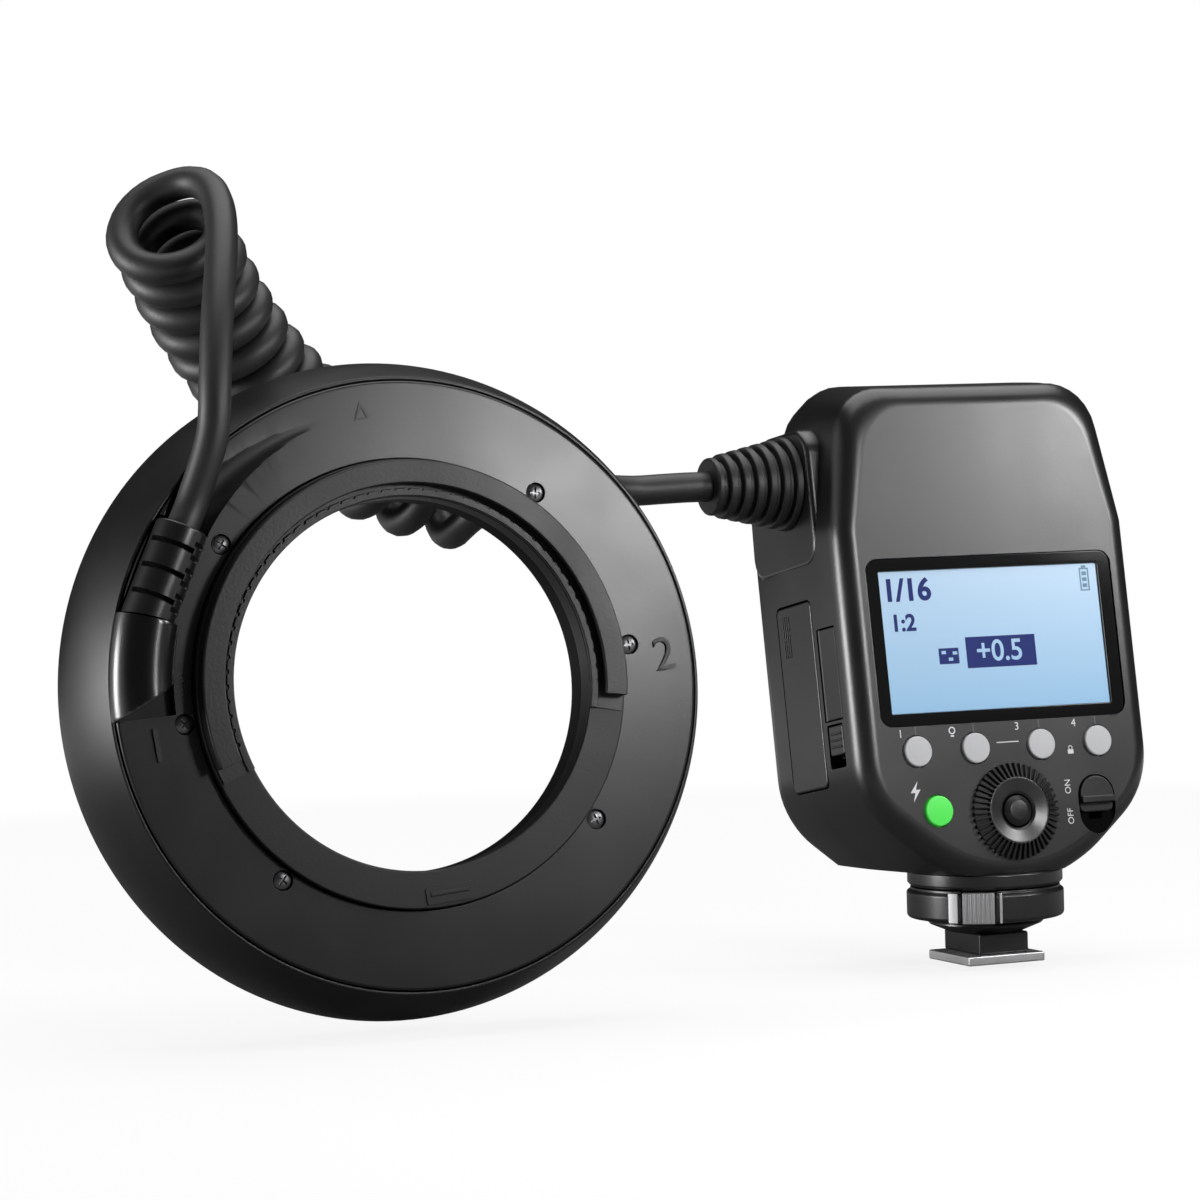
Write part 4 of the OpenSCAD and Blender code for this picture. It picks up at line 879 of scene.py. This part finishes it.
panel_tools = [box(-4, 3, 60.2, 36.2, 3, y=LCD_Y),
               disc(0, DIAL_Y, 6.3, -4, 3), disc(TEST_X, TEST_Y, BUTTON_R + 0.3, -4, 3),
               *[disc(x, BUTTON_Y, BUTTON_R + 0.3, -4, 3) for x in BUTTON_X],
               box(-4, 3, 9.0, 12.8, 4.45, SWITCH_X, SWITCH_Y, 10)]
rear = carve(hollow_body(), depth_block(SEAM, 80), *panel_tools)
rear = soften(carve(rear, *at_posts(3.6, -SEAM, -1.9), operation="UNION"), 0.22, 2, 50)
rear_shell = piece("panel_shell", rear, PANEL, shell_black, "control_unit", "rear_panel_shell", sharp=28)

# %% Front shell with its screws
front = carve(hollow_body(), depth_block(-20, SEAM))
front = carve(front, *at_posts(3.6, -44.1, -SEAM), operation="UNION")
front = soften(carve(front, *at_posts(2.5, -60, -44.7), *at_posts(1.4, -60, -20, 24)), 0.22, 2, 50)
front_shell = piece("lens_side_shell", front, PANEL, shell_black, "control_unit", "front_shell", sharp=28)
flip = spun(180, "Y")
back_screws = merge(*[moved(cross_screw(2.4, 1.1, 1.3, 31.6), at(x, POST_Y, -45.8) @ flip) for x in POST_X])
piece("back_cross_screws", back_screws, PANEL, dark_steel, "control_unit", "body_screws")
print("shell faces:", len(rear_shell.data.polygons), len(front_shell.data.polygons))

# %% [markdown]
# ## The display
#
# A dark glossy frame sits in a shallow recess round a pale blue screen, paler at the top, with a painted glow that
# stands in for light on it. The screen shows plain numerals in dark blue, one group reversed out of a dark bar.

# %% Frame and screen
window = carve(box(-1.9, -0.3, 60, 36, 2.9, y=LCD_Y), box(-4, 3, 53.6, 30.6, 0.3, y=LCD_Y))
piece("display_frame", soften(window, 0.2, 2, 50), PANEL, bezel_black, "control_unit", "lcd_window")

screen_blue_painted_glow, tree, shader = bare_finish("screen_blue_painted_glow")
spot, split = add_node(tree, "TexCoord"), add_node(tree, "SeparateXYZ")
rise = add_node(tree, "MapRange", {"From Min": 0.055, "From Max": 0.086})
fade = add_node(tree, "ValToRGB")
fade.color_ramp.elements[0].color = (0.30, 0.53, 0.77, 1)
fade.color_ramp.elements[1].color = (0.46, 0.64, 0.83, 1)
wire(tree, (spot, "Object", split, "Vector"), (split, "Z", rise, "Value"), (rise, "Result", fade, "Fac"),
     (fade, "Color", shader, "Base Color"), (fade, "Color", shader, "Emission Color"))
# The emission is a painted glow: it brightens the screen in place of lamp light falling on it.
shader.inputs["Emission Strength"].default_value = 0.17
shader.inputs["Roughness"].default_value = 0.3
screen = merge(box(-2.0, -0.75, 53.4, 30.4, 0.2, y=LCD_Y),
               soften(box(-6, -2, 58.6, 35.6, 0.4, y=LCD_Y), 0.2))
piece("display_screen", screen, PANEL, screen_blue_painted_glow, "control_unit", "lcd_module")

# %% Numerals on the screen


def ink_box(width, height, x, y, radius=0.1):
    """A thin printed rectangle, placed from the screen's middle."""
    return box(-0.76, -0.7, width, height, radius, x, LCD_Y + y)


def ink_gap(width, height, x, y, radius=0.0):
    return box(-2, 2, width, height, radius, x, LCD_Y + y)


bar = carve(ink_box(17, 6.7, 1.2, -2.9), lettering("+0.5", 6.4, 0.8, LCD_Y - 2.9, -0.7, thick=1, bold=0.1))
dots = [ink_gap(1.1, 0.7, -11.6 + x, -3.4 + y) for x, y in ((-1.2, 0.8), (0.4, -0.7), (1.5, 0.6))]
block = carve(ink_box(4.8, 3.4, -11.6, -3.4), *dots)
signs = merge(lettering("1/16", 6.6, -20.2, LCD_Y + 11.0, -0.72, bold=0.2),
              lettering("1:2", 5.0, -21.8, LCD_Y + 4.0, -0.72, bold=0.14), block, bar)
piece("display_signs", signs, PANEL, ink_blue, "control_unit")

charge = carve(ink_box(2.3, 5, 23.6, 11.8), ink_gap(1.7, 4.4, 23.6, 11.8, 0.1))
charge = merge(charge, ink_box(1.1, 0.5, 23.6, 14.6, 0), *[ink_box(1.1, 0.8, 23.6, y, 0) for y in (10.5, 11.8, 13.1)])
piece("display_charge_sign", charge, PANEL, ink_pale, "control_unit")

# %% [markdown]
# ## Buttons, dial and switch
#
# The buttons are low domes in chamfered holes. The dial has a sloped face with a ring of ribs round a smooth hollow and
# a domed button in its middle. The power switch is a half-round slider in a long recess.

# %% Buttons
BUTTON_OUTLINE = [(3.85, -3.1), (3.85, -2.3), (3.25, -2.3), (3.25, 0.75, 0.35), (0, 0.95)]
for k, x in enumerate(BUTTON_X, 1):
    body = moved(turned(BUTTON_OUTLINE, 0.1, 5), at(x, BUTTON_Y))
    node = f"function_button_{k}"
    piece(f"round_button_{k}", body, PANEL, button_grey, node, node)
green = moved(turned(BUTTON_OUTLINE, 0.1, 5), at(TEST_X, TEST_Y))
piece("round_test_button", green, PANEL, test_green, "test_button", "test_button")

# %% Control dial with ribs
DIAL_RIBS = 46
DIAL_PLACE = at(0, DIAL_Y)
dial_outline = fillet([(3.65, -4.5), (6.0, -4.5), (6.0, -0.3), (10.0, -0.3, 0.3), (10.0, 0.2, 0.2), (7.35, 1.25, 0.1),
                       (7.2, 2.25, 0.25), (6.7, 2.2, 0.5), (4.2, 1.55, 0.6), (3.65, 1.2, 0.2)], 0.1)
ribs = []
for k in range(DIAL_RIBS):
    bar = soften(slab([(7.1, -0.22), (10.35, -0.33), (10.35, 0.33), (7.1, 0.22)], -0.2, 2.35), 0.14, 2)
    low = [v for v in bar.verts if v.co.x > 9 and v.co.z > 1]
    bmesh.ops.translate(bar, verts=low, vec=(0, 0, -1.3))
    ribs.append(moved(bar, DIAL_PLACE @ Matrix.Rotation(2 * pi * k / DIAL_RIBS, 4, "Z")))
dial = moved(lathe(dial_outline, steps=92), DIAL_PLACE)
piece("ribbed_dial", merge(dial, *ribs), PANEL, shell_black, "control_dial", "control_dial")

knob = turned([(5.3, -5.6), (5.3, -4.8), (3.35, -4.8), (3.35, 1.4, 0.5), (2.1, 2.1, 0.9), (0, 2.3)], 0.1, 6)
knob = moved(knob, DIAL_PLACE)
piece("dial_set_button", knob, PANEL, housing_black, "set_button", "set_button")

# %% Power switch
SWITCH_REST = SWITCH_Y + 1.35
dome = arc(SWITCH_X, SWITCH_REST + 0.6, 4.1, 10)
base = [(SWITCH_X - 4.1, SWITCH_REST - 3.0), (SWITCH_X + 4.1, SWITCH_REST - 3.0)]
cap = slab(fillet([*[(x, y, 0) for x, y in dome], *base], 1.2), -1.1, 0.45)
cap = carve(cap, box(-0.35, 2, 10, 4.4, 0, SWITCH_X, SWITCH_REST - 3.3))
# A near-black plate at the bottom of the switch recess is painted shade that darkens the recess floor.
recess_shade = carve(box(-2.2, -1.4, 8.9, 12.7, 4.4, SWITCH_X, SWITCH_Y, 10),
             box(-4, 3, 3.2, 6.3, 0, SWITCH_X, SWITCH_Y))
piece("switch_recess_shade", recess_shade, PANEL, bezel_black, "control_unit")
grip = box(0.1, 1.05, 8.1, 1.5, 0.3, SWITCH_X, SWITCH_REST - 0.35)
stem = box(-2.3, -1.0, 2.6, 3, 0, SWITCH_X, SWITCH_REST)
flange = box(-3.1, -2.3, 4.6, 3, 0, SWITCH_X - 0.7, SWITCH_REST + 1.5)
slider = merge(soften(cap, 0.25, 3), soften(grip, 0.25, 3), stem, flange)
piece("power_slider", slider, PANEL, housing_black, "power_switch", "power_switch")

# %% White signs and fine lines beside the buttons
PRINT = (-0.05, 0.04)


def bolt_sign(x, y, size):
    points = [(0.3, 1.0), (-0.55, -0.1), (-0.05, -0.1), (-0.3, -1.0), (0.55, 0.2), (0.05, 0.2)]
    return slab([(x + size * px, y + size * py) for px, py in points], *PRINT)


def hoop(x, y, outer, inner):
    return carve(disc(x, y, outer, *PRINT, 24), disc(x, y, inner, -1, 1, 24))


def lamp_sign(x, y, size):
    socket = box(*PRINT, 0.6 * size, 0.28 * size, 0, x, y - 0.7 * size)
    return merge(hoop(x, y + 0.2 * size, 0.62 * size, 0.42 * size), socket)


def lock_sign(x, y, size):
    case = box(*PRINT, 1.1 * size, 0.75 * size, 0, x, y - 0.4 * size)
    return merge(hoop(x, y + 0.25 * size, 0.42 * size, 0.28 * size), case)


signs = merge(lettering("1", 2.4, -25.6, 51.6, 0.0), lamp_sign(-13.2, 51.5, 1.3), lettering("3", 2.4, 2.6, 51.8, 0.0),
              lettering("4", 2.4, 16.6, 51.8, 0.0), lock_sign(15.2, 46.2, 1.25), bolt_sign(-23.4, 39.2, 2.2),
              lettering("ON", 2.0, 13.6, 38.2, 0.0, turn=90), lettering("OFF", 2.0, 13.6, 31.8, 0.0, turn=90),
              box(-0.05, 0.03, 5.4, 0.22, 0, 0, 48.6))
piece("white_signs", signs, PANEL, mark_white, "control_unit")
lines = merge(*[box(-0.05, 0.03, 0.3, 1.9, 0, x, 52.1) for x in BUTTON_X])
piece("fine_lines", lines, PANEL, line_grey, "control_unit")

# %% [markdown]
# ## The battery side and the cord boot
#
# The battery slides out of the left side, held by a small latch. Beside it a soft cover hides the sockets. The cord's
# boot is a ribbed rubber cone on a flat cheek.

# %% Battery, latch and port cover
battery = soften(slab([(-d, h) for d, h in BATTERY], -24.1, 35.9), 0.4, 3)
grip = [soften(box(35.7, 36.05, 0.5, 9, 0, -29.6 + 0.9 * k, 76.5), 0.12, 2) for k in range(4)]
piece("battery_block", merge(battery, *grip), SIDE, shell_black, "battery_pack", "battery_pack")
latch = merge(soften(box(33.1, 35.7, 6.4, 6.4, 0.5, -10.15, 52), 0.3, 3),
              box(32.3, 33.1, 8.4, 7.8, 0.3, -10.15, 52),
              *[soften(box(35.5, 35.95, 4.6, 0.5, 0, -10.15, 50.6 + 1.4 * k), 0.15, 2) for k in range(3)])
piece("battery_catch", latch, SIDE, shell_black, "battery_latch", "battery_latch")
flap = merge(soften(slab([(-35.6, 6.35), (-35.75, 13.3), (-34.3, 12.9), (-34.1, 6.55)], 56.4, 76.0), 0.25, 3),
             rod((-35.3, 13.4, 56.4), (-35.3, 13.4, 76.0), 0.55, segments=24))
piece("port_flap", flap, UNIT, rubber_black, "port_cover", "port_cover")

# %% Ribbed cord boot
BOOT_RIBS = 6
step = BOOT_LENGTH / (BOOT_RIBS + 0.5)
boot = [(0, -4.5), (7, -4.5, 0.3), (7, 0)]
for k in range(BOOT_RIBS):
    low, high = 10.3 - 4 * k / (BOOT_RIBS + 0.5), 10.3 - 4 * (k + 0.5) / (BOOT_RIBS + 0.5)
    boot += [(low, k * step, 0.35), (high, (k + 0.55) * step, 0.35), (high - 1.5, (k + 0.62) * step, 0.2),
             (high - 1.7, (k + 0.95) * step, 0.2)]
boot += [(6.3, BOOT_RIBS * step, 0.3), (6.2, BOOT_LENGTH, 0.6), (0, BOOT_LENGTH)]
cone = lathe(fillet(boot, 0.2, 3, closed=False), steps=64, solid=True)
boot_turn = at(-BOOT_FACE, BOOT_DEPTH, BOOT_HEIGHT) @ spun(-90, "Y")
piece("ribbed_boot", moved(cone, boot_turn), UNIT, rubber_black, "control_unit", "unit_cord_boot")

# %% [markdown]
# ## The shoe foot
#
# A bright plate slides into the camera's shoe. Above it, a wide ring turns to lock the foot, with a ribbed bright
# release button and two bright strips let into its edge, and a thin disc carries the body.

# %% Plate, stem and pins
CONTACTS = ((0, 0, 1.5), (3.6, 3, 1), (-3.6, 3, 1), (3.6, -2.2, 1), (-3.6, -2.2, 1))
FOOT_SCREWS = ((3.8, -5.6), (-3.8, -5.6))
LOCK_PIN_Y = 5.9


def foot_holes():
    return [*[disc(x, y, r + 0.15, -1, 4.1, 24) for x, y, r in CONTACTS],
            *[disc(x, y, 1.6, -1, 0.9, 24) for x, y in FOOT_SCREWS], disc(0, LOCK_PIN_Y, 1.12, -1, 5.45, 24)]


plate = carve(soften(box(0, 2, 18.6, 18.2), 0.3, 3), *foot_holes())
piece("shoe_plate", plate, FOOT, bright_steel, "control_unit", "foot_plate")
spindle = turned([(8, 6.5, 0.4), (14, 9.0, 0.4), (7, 9.0), (7, 16.8), (0, 16.8)], 0.1, 3, 64)
stem = carve(merge(soften(box(2, 6.6, 12, 16), 0.5, 3), spindle), *foot_holes())
piece("foot_stem_block", stem, FOOT, shell_black, "control_unit", "foot_stem")
pins = merge(*[moved(turned([(r, -0.5, 0.35), (r, 2.9), (0, 2.9)], 0.1, 4, 24), at(x, y)) for x, y, r in CONTACTS])
piece("shoe_contacts", pins, FOOT, plated_gold, "contact_pins", "contact_pins")
lock_pin = moved(turned([(1, 0.3, 0.3), (1, 5.3), (0, 5.3)], 0.1, 4, 24), at(0, LOCK_PIN_Y))
piece("shoe_lock_pin", lock_pin, FOOT, bright_steel, "lock_pin", "lock_pin")

# %% Lock ring with its strips and release button
RELEASE_TURN = spun(-124)
BANDS = ((-146.5, 7), (-108.6, 1.8))
release_room = moved(slab([(12.6, -3.75), (20, -3.75), (20, 3.75), (12.6, 3.75)], 0, 30), RELEASE_TURN)
rooms = [lathe([(16.55, 9.5), (17.3, 9.5), (17.3, 16.3), (16.55, 16.3)], sweep=wide + 0.2, start=a - 0.1, steps=6)
         for a, wide in BANDS]
collar = lathe(fillet([(7.06, 9.3), (14.2, 9.3, 0.3), (17, 9.9, 0.9), (17, 15.4, 0.5), (16.2, 16.0, 0.3),
                       (16.2, 16.5, 0.2), (7.06, 16.5)], 0.1), steps=128)
collar = soften(carve(collar, release_room, *rooms), 0.15, 2, 50)
piece("lock_collar", collar, FOOT, shell_black, "lock_ring", "lock_ring")
strip = fillet([(16.65, 9.7), (17.05, 9.7), (17.05, 16.1), (16.65, 16.1)], 0.1)
strips = merge(*[lathe(strip, sweep=wide, start=a, steps=6) for a, wide in BANDS])
piece("lock_strips", strips, FOOT, bright_steel, "lock_ring", "lock_trim")
press = [slab([(14, -3.45), (16.75, -3.45), (16.9, 0), (16.75, 3.45), (14, 3.45)], 9.6, 16.2)]
for y in (-2.9, -1.93, -0.97, 0, 0.97, 1.93, 2.9):
    rib = [(16.4, y - 0.3), (17.15, y - 0.22), (17.15, y + 0.22), (16.4, y + 0.3)]
    press.append(slab(rib, 9.75, 16.05))
press = moved(merge(*[soften(p, 0.1, 2) for p in press]), RELEASE_TURN)
piece("lock_press", press, FOOT, bright_steel, "lock_release_button", "lock_release_button")

# %% Neck and screws
neck = turned([(16.2, 16.8, 0.3), (16.8, 17.4, 0.3), (16.8, 20, 0.4), (0, 20)], 0.1, 3, 96)
neck = carve(neck, *[disc(x, y, 1.1, 17.6, 22, 24) for x, y in ((9.5, -4), (-9.5, -4), (0, 13))])
piece("neck_plate", neck, FOOT, shell_black, "control_unit", "neck_disc")
foot_screws = merge(*[moved(cross_screw(1.5, 0.7, 0.8, 4.8), at(x, y, 0.1) @ flip) for x, y in FOOT_SCREWS])
piece("foot_cross_screws", foot_screws, FOOT, dark_steel, "control_unit", "foot_screws")
print("pieces so far:", len(made))

# %% [markdown]
# ## What keeps its solid
#
# Inside the shells the solids already have the right shape, so they only take a finish.

# %% Finishes of the inner pieces
INNER = ((dark_steel, ["neck_screws"]), (moulded_grey, ["dial_encoder", "battery_tray", "port_sockets"]),
         (board_green, ["button_board", "main_board", "power_board", "trigger_board"]),
         (sleeve_blue, ["flash_capacitor"]), (plated_gold, ["battery_contacts"]),
         (mirror_bright, ["reflector_upper", "reflector_lower"]),
         (tube_clear, ["flash_tube_upper", "flash_tube_lower"]), (lamp_amber, ["focus_lamps"]))
for material, names in INNER:
    for name in names:
        for holder in nodes[name].material_slots:
            holder.material = material
print("inner pieces:", sum(len(names) for _, names in INNER))

# %% Sizes, then the end
print("faces in all:", sum(len(o.data.polygons) for o in made) + len(cord_mesh.polygons))
